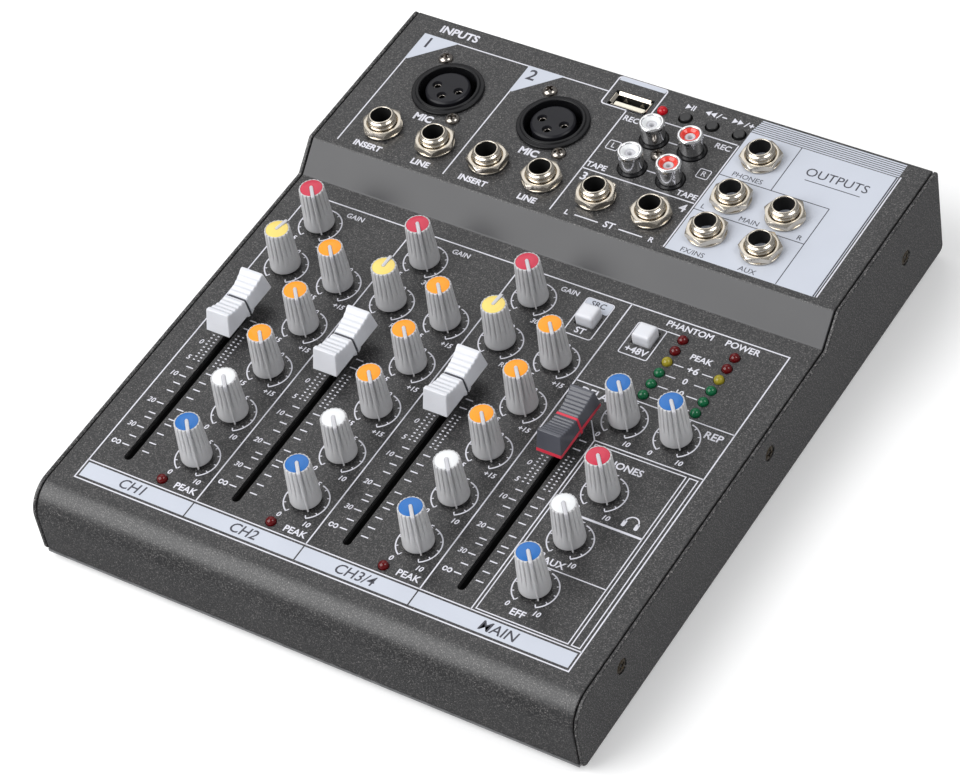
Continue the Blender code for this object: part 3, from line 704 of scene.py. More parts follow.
def make_screws(kit):
    """Panel screws by the sockets, and sunk screws in the case's sides and floor."""
    pan = carved(mesh_of("pan_screw", screw_head, kit["steel"]), cross_recess)
    sunk = carved(mesh_of("sunk_screw", sunk_head, kit["bronze"]),
                  lambda shape: cross_recess(shape, 1.0, 0.6))
    for i in (1, 2):
        x, y = middle(f"xlr_socket_{i}")
        for k, (across, along) in enumerate(((-9.0, 12.9), (9.0, -11.8))):
            place(f"xlr_screw_{i}_{k + 1}", pan, "nickel", at=(x + across, y + along, CONNECTOR_Z),
                  turn=0.5 + 1.1 * k + 0.4 * i)
    x, y = middle("rca_block")
    place("rca_screw", pan, "nickel", at=(x - 1.9, y + 0.8, CONNECTOR_Z), turn=0.3)
    for side, sign in (("left", -1), ("right", 1)):
        tilt = Matrix.Rotation(sign * math.pi / 2, 4, "Y")
        for k, along in enumerate(CHEEK_SCREWS):
            place(f"{side}_cheek_screw_{k + 1}", sunk, "nickel", tilt=tilt, turn=0.4 + 0.9 * k,
                  at=(sign * (HALF_WIDTH - 0.47), front(along), CASE_BASE + CHEEK_SCREW_Z))
    under = Matrix.Rotation(math.pi, 4, "X")
    for k, (x, y) in enumerate(((-60, 90), (60, 90), (-60, -90), (60, -90), (0, 0))):
        place(f"floor_screw_{k + 1}", sunk, "nickel", tilt=under, turn=0.7 * k,
              at=(x, y, CASE_BASE + 0.1))


# ---------------------------------------------------------------- knobs

def cone_radius(height):
    """The radius of the knob's body at a height, without its flutes."""
    share = (height - KNOB_SKIRT) / (KNOB_TOP - KNOB_SKIRT)
    return KNOB_BASE_RADIUS + (KNOB_TOP_RADIUS - KNOB_BASE_RADIUS) * share


def knob_body(shape):
    """The fluted body, its shaft below, and a pointer rib from the middle down the +Y side."""
    foot = KNOB_SKIRT + 0.35
    rise = KNOB_TOP - 0.45 - KNOB_SKIRT - 0.35
    levels = [(0.35, KNOB_SKIRT, 0.0), (0.08, KNOB_SKIRT + 0.08, 0.0), (0.0, foot, 0.0)]
    for i in range(1, 13):
        levels.append((0.0, foot + rise * i / 12, smooth_share(0.16, 0.52, i / 12)))
    levels += [(0.07, KNOB_TOP - 0.16, 0.9), (0.22, KNOB_TOP - 0.03, 0.5), (0.42, KNOB_TOP, 0.1)]
    count = FLUTES * 8
    rings = []
    for inset, height, depth in levels:
        ring = []
        for turn in even_turns(count, 0.5):
            groove = max(0.0, math.cos(FLUTES * turn)) ** 2
            radius = cone_radius(height) - inset - FLUTE_DEPTH * depth * groove
            ring.append((radius * math.cos(turn), radius * math.sin(turn), height))
        rings.append(ring)
    for slack, height in ((0.04, KNOB_TOP - 0.02), (0.02, KNOB_TOP - DISC_DEPTH)):
        ring = circle(DISC_RADIUS + slack, count, offset=0.5)
        rings.append([(*point, height) for point in ring])
    loft(shape, rings)
    revolve(shape, [(0, KNOB_SKIRT + 0.5), (3.0, KNOB_SKIRT + 0.5), (3.0, -1.5), (0, -1.5)], steps=32)
    knob_rib(shape)


def rib_path():
    """The rib's crest as (y, z, half width, outward y, outward z), from its round end downwards."""
    crest = KNOB_TOP + 0.5
    for i in range(7):
        turn = math.pi / 2 * i / 6
        yield -RIB_HALF * math.cos(turn), crest, RIB_HALF * max(0.12, math.sin(turn)), 0.0, 1.0
    for share in (0.3, 0.6, 0.85):
        yield KNOB_TOP_RADIUS * share, crest, RIB_HALF, 0.0, 1.0
    slope = math.atan2(KNOB_BASE_RADIUS - KNOB_TOP_RADIUS, KNOB_TOP - KNOB_SKIRT)
    corner = 0.75
    pivot = Vector((cone_radius(KNOB_TOP) + RIB_RISE - corner, crest - corner))
    for i in range(7):
        turn = math.pi / 2 - (math.pi / 2 - slope) * i / 6
        out = Vector((math.cos(turn), math.sin(turn)))
        point = pivot + out * corner
        yield point.x, point.y, RIB_HALF, out.x, out.y
    for i in range(1, 11):
        share = i / 10
        height = (crest - corner) + (KNOB_SKIRT - 0.15 - crest + corner) * share
        half = RIB_FOOT + (RIB_TIP - RIB_FOOT) * share
        yield cone_radius(height) + RIB_RISE, height, half, math.cos(slope), math.sin(slope)


def knob_rib(shape):
    """A bar with round shoulders that follows the rib's path, light-coloured near the top."""
    limit = KNOB_TOP - POINTER_END * (KNOB_TOP - KNOB_SKIRT)
    path = list(rib_path())
    split = next(i for i, point in enumerate(path) if point[1] <= limit)
    for stretch, index in ((path[:split + 1], 1), (path[split:], 0)):
        rings = []
        for y, z, half, out_y, out_z in stretch:
            shoulder = min(0.22, half * 0.6)
            section = [(-half, -1.6), (-half, -shoulder), (-half + 0.3 * shoulder, -0.3 * shoulder),
                       (-half + shoulder, 0.0), (half - shoulder, 0.0),
                       (half - 0.3 * shoulder, -0.3 * shoulder), (half, -shoulder), (half, -1.6)]
            rings.append([(x, y + out_y * up, z + out_z * up) for x, up in section])
        loft(shape, rings, index=index)


def knob_disc(shape):
    """The coloured disc in the knob's top, slightly domed."""
    foot = KNOB_TOP - DISC_DEPTH + 0.04
    revolve(shape, eased([(0, KNOB_TOP + 0.30), (2.2, KNOB_TOP + 0.24, 2.0),
                          (DISC_RADIUS, KNOB_TOP - 0.02, 0.15), (DISC_RADIUS, foot), (0, foot)]), steps=64)


def disc_slot(shape):
    """The slot that the pointer stands in, a little wider than the pointer."""
    outline = slot_outline(2 * RIB_HALF + 0.12, -RIB_HALF - 0.06, 2 * DISC_RADIUS, 0.0)
    loft(shape, [[(x, y, KNOB_TOP + z) for x, y in outline] for z in (-2, 2)])


def knob_colour(node):
    """The colour of a knob's disc, from what the knob sets."""
    kind = node.removesuffix("_knob").removeprefix("main_")
    if kind.startswith("ch"):
        kind = kind.split("_")[1]
    return {"gain": "red", "phones": "red", "pan": "yellow", "low": "orange", "mid": "orange",
            "high": "orange", "aux": "white", "effect": "blue", "delay": "blue", "repeat": "blue"}[kind]


def make_knobs(kit):
    body = mesh_of("knob_body", knob_body, kit["knob"], kit["pointer"])
    discs = {}
    for joint in frame["joints"]:
        if joint["type"] != "hinge":
            continue
        node = joint["child"]
        colour = knob_colour(node)
        if colour not in discs:
            discs[colour] = carved(mesh_of(f"disc_{colour}", knob_disc, kit[colour]), disc_slot)
        at = [value / MM for value in joint["pos_m"]]
        turn = math.radians(sum(joint["range_deg"]) / 2)
        place(f"{node}_body", body, "knob_grey", node, at, turn, stands_for=[node])
        place(f"{node}_disc", discs[colour], f"cap_{colour}", node, at, turn)


# ---------------------------------------------------------------- faders

def cap_stations(ribs):
    """Places along a fader cap, from its front end to its back end, where it has a section."""
    half = CAP_CREST[1]
    fine = 10
    ahead = [0.0, CAP_LINE, CAP_LINE + 0.03, CAP_RIB_START]
    ahead += [CAP_RIB_START + CAP_RIBBED * i / (ribs * fine) for i in range(1, ribs * fine + 1)]
    ahead += [half - reach for reach in (0.35, 0.2, 0.1, 0.03, 0.0)]
    return [-place for place in reversed(ahead[1:])] + ahead


def cap_height(y):
    """The dished top of a fader cap, without its ribs."""
    radius = (CAP_CREST[1] ** 2 + CAP_DIP ** 2) / (2 * CAP_DIP)
    return CAP_TOP - CAP_DIP + radius - math.sqrt(radius ** 2 - y ** 2)


def cap_rib(y, ribs):
    """The height of the round finger ribs at a place along the cap."""
    along = (abs(y) - CAP_RIB_START) / CAP_RIBBED
    if not 0 < along < 1:
        return 0.0
    share = (1 - along * ribs) % 1.0
    return CAP_RIB_RISE * smooth_share(0.0, 0.5, share) * (1 - smooth_share(0.5, 1.0, share))


def cap_section(y, line, ribs):
    """One section of the cap: up the left wall, over the ribbed top, down the right wall.

    line is how far the indicator line stands out, ribs how many there are on each side of it.
    """
    half_length = CAP_CREST[1]
    corner = min(1.0, (half_length - abs(y)) / 0.7)
    ease = 0.65 * (1 - math.sqrt(max(0.0, 1 - (1 - corner) ** 2)))
    out = line if abs(y) <= CAP_LINE + 0.01 else 0.0
    top = cap_height(y) - ease + out
    base_x = CAP_BASE[0] - 0.3 * ease + out
    crest_x = CAP_CREST[0] - CAP_WAIST * (1 - (y / half_length) ** 2) - ease + out
    stretch = CAP_BASE[1] / half_length

    def wall(share):
        reach = base_x + (crest_x - base_x) * share
        return reach, y * (stretch + (1 - stretch) * share), CAP_BOTTOM + (top - CAP_BOTTOM) * share

    band = CAP_BAND / (top - CAP_BOTTOM)
    rib = cap_rib(y, ribs)
    side = [wall(share) for share in (0.0, band, 0.5, 0.86, 0.93)]
    side += [(crest_x - 0.05, y, top - 0.22 + 0.5 * rib), (crest_x - 0.20, y, top - 0.05 + 0.9 * rib)]
    side += [(crest_x * share, y, top + rib) for share in (0.85, 0.4, 0.0)]
    left = [(-x, along, up) for x, along, up in side]
    return left + [(x, along, up) for x, along, up in reversed(side[:-1])]


def cap_tooth(shape, side, outline, inset, index):
    """A small plate that hangs from the foot of the cap's side wall."""
    outer = side * (CAP_BASE[0] - inset)
    rings = [[(x, y, CAP_BOTTOM + z) for y, z in outline] for x in (outer - side * 0.8, outer)]
    loft(shape, rings, index=index)


def fader_cap(shape, line, ribs):
    """A cap with its indicator line, its base band and the teeth beside the line."""
    stations = cap_stations(ribs)
    rows = [[shape.verts.new(point) for point in cap_section(y, line, ribs)] for y in stations]
    last = len(rows[0]) - 1
    for low, high, y in zip(rows, rows[1:], stations):
        centre = -CAP_LINE - 0.001 < y < CAP_LINE - 0.001
        for i in range(last):
            face = shape.faces.new((low[i], low[i + 1], high[i + 1], high[i]))
            face.material_index = 1 if centre else 2 if i in (0, last - 1) else 0
        shape.faces.new((low[0], high[0], high[-1], low[-1]))
    for end in (rows[0], rows[-1]):
        shape.faces.new((end[0], end[1], end[-2], end[-1])).material_index = 2
        shape.faces.new(end[1:-1])
    reach, outer_drop, inner_drop = TOOTH
    for side in (-1, 1):
        for sign in (-1, 1):
            outline = [(sign * CAP_LINE, 0.3), (sign * reach, 0.3), (sign * reach, -outer_drop),
                       (sign * (CAP_LINE + 0.1), -inner_drop)]
            cap_tooth(shape, side, outline, 0.02, 0)
        outline = [(-CAP_LINE, 0.4), (CAP_LINE, 0.4), (CAP_LINE, -0.7), (-CAP_LINE, -0.7)]
        cap_tooth(shape, side, outline, 0.03 - line, 1)
    width, length, depth = LEVER
    pillow(shape, width, length, 0.25, ((0, -depth), (0, CAP_BOTTOM + 1.0)), index=3)


def make_faders(kit):
    white = mesh_of("fader_cap_white", lambda shape: fader_cap(shape, -0.28, 5),
                    kit["cap"], kit["dark"], kit["cap"], kit["zinc"], angle=40)
    slate = mesh_of("fader_cap_slate", lambda shape: fader_cap(shape, 0.14, 7),
                    kit["slate"], kit["line_red"], kit["line_red"], kit["zinc"], angle=40)
    for node in FADERS:
        mesh, slot = (slate, "cap_dark") if node == "main_fader" else (white, "cap_white")
        place(f"{node}_cap", mesh, slot, node, (*middle(node), CONTROL_Z), stands_for=[node])


# ---------------------------------------------------------------- buttons and lamps

def push_button(shape):
    """A square cap with soft edges and a slightly domed top, on its stem."""
    pillow(shape, 6.6, 6.6, 0.8, ((0.0, -2.7), (0.0, 2.4), (0.12, 3.0), (0.30, 3.4), (0.60, 3.66),
                                 (1.0, 3.78), (2.0, 3.84), (3.2, 3.86)))
    pillow(shape, 3.0, 3.0, 0.2, ((0, -5.7), (0, -2.5)))


def round_key(shape):
    """A round key, softly dished, standing a little above the panel."""
    revolve(shape, eased([(0, 0.80), (1.2, 0.84, 0.6), (1.95, 0.90, 0.4), (2.0, -5.0), (0, -5.0)]), steps=40)


def lamp(shape, radius):
    """A lamp's dome standing in its hole."""
    turns = [math.pi / 2 * i / 10 for i in range(10)]
    dome = [(radius * math.cos(turn), LAMP_RISE - radius * 0.85 * (1 - math.sin(turn))) for turn in turns]
    revolve(shape, [(0, -2.0), (radius, -2.0), *dome, (0, LAMP_RISE)], steps=32)


def lamp_places():
    """Every lamp: name, colour, x, distance from the front, the panel it stands in and its radius."""
    for side, x in METER_COLUMNS:
        for k, colour in enumerate(LAMP_LADDER):
            yield f"meter_{side}_{k + 1}", colour, x, METER_TOP - METER_PITCH * k, CONTROL_Z, LAMP_RADIUS
    x, along = PEAK_LAMP
    for channel in range(3):
        yield f"peak_lamp_{channel + 1}", "red", x + PITCH * channel, along, CONTROL_Z, LAMP_RADIUS
    x, along, radius = PLAYER_LAMP
    # The player's lamp gets the lighter red lens, a painted highlight.
    yield "player_lamp", "bright", x, along, CONNECTOR_Z, radius


def make_buttons(kit):
    square = mesh_of("push_button", push_button, kit["cap"])
    for node in PUSH_BUTTONS:
        place(f"{node}_cap", square, "cap_white", node, (*middle(node), CONTROL_Z), stands_for=[node])
    key = mesh_of("round_key", round_key, kit["key"])
    for node in PLAYER_KEYS:
        place(f"{node}_key", key, "socket_black", node, (*middle(node), CONNECTOR_Z), stands_for=[node])
    domes = {}
    for name, colour, x, along, z, radius in lamp_places():
        key = (colour, radius)
        if key not in domes:
            domes[key] = mesh_of(f"lamp_{colour}", lambda shape, size=radius: lamp(shape, size),
                                 kit[f"lens_{colour}"])
        place(name, domes[key], f"lens_{colour}".replace("bright", "red"), at=(x, front(along), z))


# ---------------------------------------------------------------- sockets

def hex_nut(shape, corner, bottom, top, bore, steps=72):
    """A nut whose top corners are chamfered by a cone, with a groove round its bore."""
    flat = corner * math.cos(math.pi / 6)
    turns = even_turns(steps)
    reach = [flat / math.cos((turn % (math.pi / 3)) - math.pi / 6) for turn in turns]

    def ring(radii, height):
        return [(radius * math.cos(turn), radius * math.sin(turn), height(radius))
                for radius, turn in zip(radii, turns)]

    def chamfer(radius):
        return top - max(0.0, radius - flat) * 0.5

    def bevel(radius):
        return bottom + (radius - flat * 0.985) * 0.35

    round_top = [flat] * steps
    rings = [ring([bore] * steps, lambda r: bottom), ring([flat * 0.985] * steps, lambda r: bottom),
             ring(reach, bevel), ring(reach, chamfer), ring(round_top, chamfer),
             ring([bore + 0.45] * steps, lambda r: top), ring([bore] * steps, lambda r: top - 0.4)]
    loft(shape, rings, closed=True)


def jack(shape):
    """Washer, nut, bush with a rolled lip and a bulging neck, the dark bore and the body below."""
    edge = WASHER_RADIUS
    revolve(shape, eased([(4.3, GAP), (edge, GAP, 0.15), (edge, WASHER_TOP, 0.25), (4.3, WASHER_TOP)]),
            closed=True, steps=64)
    hex_nut(shape, NUT_CORNER, WASHER_TOP + 0.02, NUT_TOP, 4.95)
    lip = JACK_RISE
    revolve(shape, eased([
        (BUSH_WALL, WASHER_TOP), (BUSH_RADIUS, WASHER_TOP), (BUSH_RADIUS, NUT_TOP + 0.15, 0.15),
        (4.3, NUT_TOP + 0.55, 0.25), (BUSH_RADIUS, NUT_TOP + 1.0, 0.3), (4.72, lip - 1.05, 0.45),
        (4.0, lip - 0.55, 0.12), (4.15, lip, 0.2), (JACK_BORE, lip, 0.2), (JACK_BORE, lip - 0.5),
        (BUSH_WALL, lip - 0.5)]), closed=True, steps=64)
    start, near, far, foot = lip - 0.52, JACK_BORE + 0.02, BUSH_WALL - 0.02, -JACK_DEPTH
    revolve(shape, [(far, start), (near, start), (near, foot), (0, foot), (0, foot - 1.0),
                    (far, foot - 1.0)], closed=True, steps=48, index=1)
    block(shape, (0.9, 0.35, 9.0), (0.4, JACK_BORE - 0.3, -6.0))
    for x, y, width, depth in ((0, 5.5, 14.5, 3.5), (0, -5.5, 14.5, 3.5),
                               (5.5, 0, 3.5, 7.4), (-5.5, 0, 3.5, 7.4)):
        block(shape, (width, depth, BOARD_DROP - 1.9), (x, y, -(BOARD_DROP + 1.1) / 2), 1)


def make_jacks(kit):
    mesh = mesh_of("jack", jack, kit["nickel"], kit["black_and_painted_shade"])
    nodes = [node for node in frame["nodes"] if node.endswith("_jack")]
    for i, node in enumerate(sorted(nodes)):
        place(f"{node}_fitting", mesh, "nickel", at=(*middle(node), CONNECTOR_Z), turn=0.35 + 0.41 * i,
              stands_for=[node])


def xlr_shell(shape):
    """The flat flange, its low rim and the barrel that the insert stands in."""
    edge, bore = XLR_FLANGE, XLR_BORE
    revolve(shape, eased([
        (0, -11.0), (bore, -11.0), (bore, 1.6, 0.35), (bore + 1.0, 1.6, 0.4), (bore + 1.25, 1.15, 0.2),
        (edge, 0.95, 0.4), (edge, GAP), (11.1, GAP), (11.1, -27.0), (0, -27.0)], steps=6), steps=96)


def xlr_insert(shape):
    """The round insert that the pin holes go into."""
    edge = XLR_INSERT
    revolve(shape, eased([(0, 1.25), (edge - 0.8, 1.25, 0.1), (edge - 0.45, 1.1, 0.15), (edge, 0.7, 0.25),
                          (edge, -11.2), (0, -11.2)]), steps=80)


def pin_holes(shape):
    """Three pin holes with countersunk mouths."""
    for x, y in PIN_PLACES:
        revolve(shape, [(0, -9.0), (1.4, -9.0), (1.4, 0.75), (1.85, 1.5), (0, 1.5)], (x, y, 0), 32)


def make_xlr_sockets(kit):
    shell = mesh_of("xlr_shell", xlr_shell, kit["black"])
    insert = carved(mesh_of("xlr_insert", xlr_insert, kit["insert"]), pin_holes)

    def contacts(shape):
        for x, y in PIN_PLACES:
            revolve(shape, eased([(1.0, -8.8), (1.37, -8.8), (1.37, 0.2, 0.12), (1.0, 0.2, 0.15)]),
                    (x, y, 0), 24, closed=True)

    contact = mesh_of("xlr_contacts", contacts, kit["steel"])
    for i in (1, 2):
        at = (*middle(f"xlr_socket_{i}"), CONNECTOR_Z)
        place(f"xlr_{i}_shell", shell, "socket_black", at=at, stands_for=[f"xlr_socket_{i}"])
        place(f"xlr_{i}_insert", insert, "socket_black", at=at)
        place(f"xlr_{i}_contacts", contact, "nickel", at=at)


def rca_places():
    """x and y of the four RCA sockets."""
    x, y = middle("rca_block")
    half = RCA_PITCH / 2
    return [(x + across, y + along) for across in (-half, half) for along in (-half, half)]


def rca_barrel(shape):
    """A chromed barrel with a round, thicker lip."""
    revolve(shape, eased([(3.75, 0.1), (4.05, 0.1), (4.05, 5.7, 0.4), (4.38, 6.2, 0.2), (4.38, 7.4, 0.5),
                          (3.95, 7.98, 0.35), (3.25, 7.9, 0.3), (3.13, 7.3), (3.13, 0.1)], steps=6), steps=72,
            closed=True)


def rca_dish(shape):
    """The insulator: a shallow dish inside the barrel with a bore for the plug's pin."""
    revolve(shape, eased([(3.11, 7.6), (2.8, 7.65, 0.25), (1.9, 6.9, 0.5), (1.75, 6.6, 0.12), (1.75, 1.5),
                          (3.11, 1.5)]), steps=56, closed=True)


def rca_contact(shape):
    """The pale core round the plug's pin, flush with the bottom of the dish."""
    revolve(shape, eased([(0.7, 1.2), (1.72, 1.2), (1.72, 6.6, 0.1), (0.95, 6.5, 0.2), (0.7, 6.1)]), steps=40,
            closed=True)


def rca_collar(shape):
    """The moulded ring that stands in the cover's hole round a barrel."""
    revolve(shape, eased([(3.5, -1.5), (4.95, -1.5), (4.95, 0.45, 0.2), (4.7, 0.5, 0.12), (4.55, 0.15, 0.1),
                          (4.3, 0.15), (3.5, 0.15)]), steps=64, closed=True)


def make_rca_block(kit):
    def body(shape):
        block(shape, (30.0, 30.0, BOARD_DROP - 1.8), (0, 0, -(BOARD_DROP + 1.2) / 2))

    place("rca_body", mesh_of("rca_body", body, kit["black"]), "socket_black",
          at=(*middle("rca_block"), CONNECTOR_Z), stands_for=["rca_block"])
    collar = mesh_of("rca_collar", rca_collar, kit["black"])
    barrel = mesh_of("rca_barrel", rca_barrel, kit["chrome"])
    contact = mesh_of("rca_contact", rca_contact, kit["pointer"])
    dishes = [mesh_of("rca_dish", rca_dish, kit[item]) for item in ("white", "plug_red")]
    for i, place_of in enumerate(rca_places()):
        for part, mesh, slot in (("collar", collar, "socket_black"), ("barrel", barrel, "nickel"),
                                 ("contact", contact, "nickel"),
                                 ("insulator", dishes[i // 2], "cap_red" if i // 2 else "cap_white")):
            place(f"rca_{i + 1}_{part}", mesh, slot, at=(*place_of, CONNECTOR_Z))


def usb_shell(shape):
    """A thin steel shell, near-black inside as painted shade, with a flared lip on each wall and two pressed
    springs.
    """
    outer, inner = rectangle(*USB_SHELL, 0.35), rectangle(*(side - 0.8 for side in USB_SHELL), 0.25)
    levels = ((outer, -USB_DEPTH), (outer, -0.9), (inner, -0.9), (inner, -USB_DEPTH))
    # The inner walls use the near-black material: painted shade inside the steel shell.
    loft(shape, [[(*point, z) for point in ring] for ring, z in levels], closed=True, index=1)
    lip = ((-0.45, -0.95), (0.48, 0.0), (0.40, 0.14), (0.24, 0.14), (-0.6, -0.7))
    for turn, reach, half in ((0, 2.85, 6.0), (1, 6.55, 2.2), (2, 2.85, 6.0), (3, 6.55, 2.2)):
        spin = Matrix.Rotation(math.pi / 2 * turn, 3, "Z")
        loft(shape, [[spin @ Vector((x, reach + out, up)) for out, up in lip] for x in (-half, half)])
    for x in (-3.2, 3.2):
        spring = [(0.85 * math.cos(math.pi * i / 8), 0.85 * math.sin(math.pi * i / 8)) for i in range(9)]
        loft(shape, [[(x + across, y, up * 1.3 - 2.6) for across, up in spring] for y in (2.5, 1.6)])


def make_usb_port(kit):
    at = (*middle("usb_port"), CONNECTOR_Z)

    def tongue(shape):
        pillow(shape, 11.6, 1.9, 0.4, ((0, -USB_DEPTH), (0, -1.3), (0.12, -1.0), (0.35, -0.9)), (0, -1.3, 0))

    def riser(shape):
        block(shape, (12.2, 4.8, 1.0), (0, 0, -11.6))
        block(shape, (*USB_SHELL, BOARD_DROP - USB_DEPTH - 0.4), (0, 0, -(BOARD_DROP + USB_DEPTH) / 2))
        for across, along, width, depth in ((0, 3.35, 14.2, 0.8), (0, -3.35, 14.2, 0.8),
                                            (6.95, 0, 0.6, 5.6), (-6.95, 0, 0.6, 5.6)):
            block(shape, (width, depth, 3.0), (across, along, -3.2))

    place("usb_shell", mesh_of("usb_shell", usb_shell, kit["nickel"], kit["black_and_painted_shade"]), "nickel", at=at,
          stands_for=["usb_port"])
    place("usb_tongue", mesh_of("usb_tongue", tongue, kit["cream"]), "cap_white", at=at)
    place("usb_riser", mesh_of("usb_riser", riser, kit["black_and_painted_shade"]), "socket_black", at=at)


def make_power_inlet(kit):
    """The lining of the low-voltage inlet in the back wall and its centre pin."""
    x, z = inlet_place()
    back = INLET_DEPTH

    def ring(shape):
        revolve(shape, eased([(2.9, back), (4.95, back), (4.95, -0.35), (5.0, -0.25), (5.0, 0.0, 0.3),
                              (3.3, 0.0, 0.3), (2.9, -0.6)]), steps=56, closed=True)
        revolve(shape, [(0, back - 0.4), (3.2, back - 0.4), (3.2, back + 0.1), (0, back + 0.1)], steps=40)

    def pin(shape):
        revolve(shape, eased([(0, back), (1.05, back), (1.05, -1.6, 0.5), (0, -1.5)]), steps=28)

    where = {"at": (x, HALF_DEPTH - 0.02, z), "tilt": Matrix.Rotation(-math.pi / 2, 4, "X")}
    place("inlet_ring", mesh_of("inlet_ring", ring, kit["black"]), "socket_black", **where)
    place("inlet_pin", mesh_of("inlet_pin", pin, kit["nickel"]), "nickel", **where)


# ---------------------------------------------------------------- printing, from the front in x and y

def patch(shape, points, z):
    """A flat patch of ink with the given outline."""
    loft(shape, [[(x, front(y), z + up) for x, y in points] for up in (0.0, INK)])


def stroke(shape, points, width, z, closed=False):
    """A line of ink through points, with mitred corners."""
    path = [Vector((x, front(y))) for x, y in points]
    rings = []
    count = len(path)
    for i, here in enumerate(path):
        before = path[i - 1] if i or closed else here
        after = path[(i + 1) % count] if i < count - 1 or closed else here
        ways = [way.normalized() for way in (here - before, after - here) if way.length > 1e-6]
        across = sum((Vector((-way.y, way.x)) for way in ways), Vector((0, 0))).normalized()
        across *= width / 2 / max(0.4, across.dot(Vector((-ways[0].y, ways[0].x))))
        near, far = here - across, here + across
        low, high = z, z + INK
        rings.append([(*near, low), (*far, low), (*far, high), (*near, high)])
    loft(shape, rings, closed=closed)


def strokes(shape, width, z, *paths):
    """A line of ink along each path."""
    for points in paths:
        stroke(shape, points, width, z)


def frame_line(shape, left, right, low, high, width, z, radius=0.0):
    """A rectangular line, with round corners if a radius is given."""
    if radius:
        points = [((left + right) / 2 + x, (low + high) / 2 + y)
                  for x, y in rectangle(right - left, high - low, radius)]
    else:
        points = [(left, low), (right, low), (right, high), (left, high)]
    stroke(shape, points, width, z, closed=True)


def label(shape, words, x, y, height, z, weight=0.02, slant=0.0):
    """Words centred on a place, in the built-in font, with capitals of the given height."""
    curve = bpy.data.curves.new("label", "FONT")
    curve.body = words
    curve.size = height / CAPITAL
    curve.offset = weight * height
    curve.shear = slant
    curve.align_x = "CENTER"
    curve.align_y = "CENTER"
    curve.resolution_u = 3
    curve.extrude = INK / 2
    item = bpy.data.objects.new("label", curve)
    bpy.context.scene.collection.objects.link(item)
    bpy.context.view_layer.update()
    mesh = bpy.data.meshes.new_from_object(item.evaluated_get(bpy.context.evaluated_depsgraph_get()))
    mesh.transform(Matrix.Translation((x, front(y), z + INK / 2)))
    shape.from_mesh(mesh)
    bpy.data.objects.remove(item)
    bpy.data.curves.remove(curve)
    bpy.data.meshes.remove(mesh)


def labels(shape, z, weight, *rows):
    """A label for each row of words, x, y and height."""
    for words, x, y, height in rows:
        label(shape, words, x, y, height, z, weight)


def knob_scale(shape, x, y, low, high, top):
    """The arc round a knob with its ticks, the numbers at its ends and the one at its top."""
    def at(radius, turn):
        return x + radius * math.sin(turn), y + radius * math.cos(turn)

    radius, span, z = SCALE_RADIUS, SCALE_SPAN, CONTROL_Z
    gap = 12 if top else 0
    for sign in (-1, 1):
        turns = [math.radians(gap + (span - gap) * i / 28) * sign for i in range(29)]
        stroke(shape, [at(radius, turn) for turn in turns], 0.45, z)
        for degrees in (30, 60, 90, 120, span):
            turn = math.radians(degrees) * sign
            reach = 1.2 if degrees == span else 0.9
            stroke(shape, [at(radius - 0.2, turn), at(radius - reach, turn)], TICK, z + LAYER)
    if top:
        label(shape, top, x - 0.2, y + radius - 0.3, 2.0, z, slant=SLANT)
    else:
        stroke(shape, [(x, y + radius - 0.9), (x, y + radius - 0.2)], TICK, z + LAYER)
    label(shape, low, x - 5.0 - 0.7 * (len(low) > 1), y - 8.4, 1.85, z, 0.035, SLANT)
    label(shape, high, x + 5.2, y - 8.4, 1.85, z, 0.035, SLANT)


def knob_numbers(node):
    """The (low, high, top) labels of a knob's scale."""
    if node.endswith(("low_knob", "mid_knob", "high_knob")):
        return "-15", "+15", "0"
    if node.endswith("gain_knob"):
        return "5", "30", ""
    if node.endswith("pan_knob"):
        return "L", "R", "0"
    return "0", "10", "5"


def infinity(shape, x, y, width, z):
    """The lying figure of eight at the foot of a fader's scale."""
    points = []
    for turn in even_turns(28):
        spread = 1 + math.sin(turn) ** 2
        points.append((x + width / 2 * math.cos(turn) / spread,
                       y + 1.15 * width * math.sin(turn) * math.cos(turn) / spread / 2 * 1.3))
    stroke(shape, points, RULE, z, closed=True)


def fader_scale(shape, x):
    """Ticks, dotted columns and numbers on both sides of a fader's slot."""
    z = CONTROL_Z
    for y in (31.1, 35.0, 39.3, 43.5, 45.8, 50.4, 56.0, 59.7, 63.1, 67.1, 88.8, 92.6):
        strokes(shape, RULE, z, [(x - 5.2, y), (x - 2.6, y)], [(x + 2.6, y), (x + 5.2, y)])
    for k in range(11):
        y = 70.7 + 1.45 * k
        for near in (-5.05, -3.2, 2.7, 4.5):
            stroke(shape, [(x + near, y), (x + near + 0.75, y)], 0.40, z)
    for words, y in (("30", 39.3), ("20", 50.4), ("10", 63.1), ("5", 70.9), ("0", 78.2)):
        label(shape, words, x - 7.4 + 0.5 * (len(words) == 1), y, 1.9, z, slant=SLANT)
    infinity(shape, x - 7.6, 31.1, 2.9, z)


def control_print(shape):
    """White printing on the control panel."""
    z = CONTROL_Z
    frame_line(shape, -FRAME_X, FRAME_X, FRAME_FOOT, FRAME_TOP, BORDER, z)
    stroke(shape, [(-FRAME_X, STRIP_TOP), (FRAME_X, STRIP_TOP)], RULE, z)
    strokes(shape, BORDER, z, *([(x, STRIP_TOP), (x, FRAME_TOP)] for x in DIVIDERS))
    for joint in frame["joints"]:
        if joint["type"] == "hinge":
            x, y = joint["pos_m"][0] / MM, joint["pos_m"][1] / MM + HALF_DEPTH
            knob_scale(shape, x, y, *knob_numbers(joint["child"]))
    for channel in range(4):
        fader_scale(shape, FADER_X + channel * PITCH)
    for channel in range(3):
        across = channel * PITCH
        labels(shape, z, BOLD, ("GAIN", -70.3 + across, 146.3, 1.95), ("PEAK", -55.0 + across, 23.6, 2.45))
    meter_print(shape)
    section_print(shape)


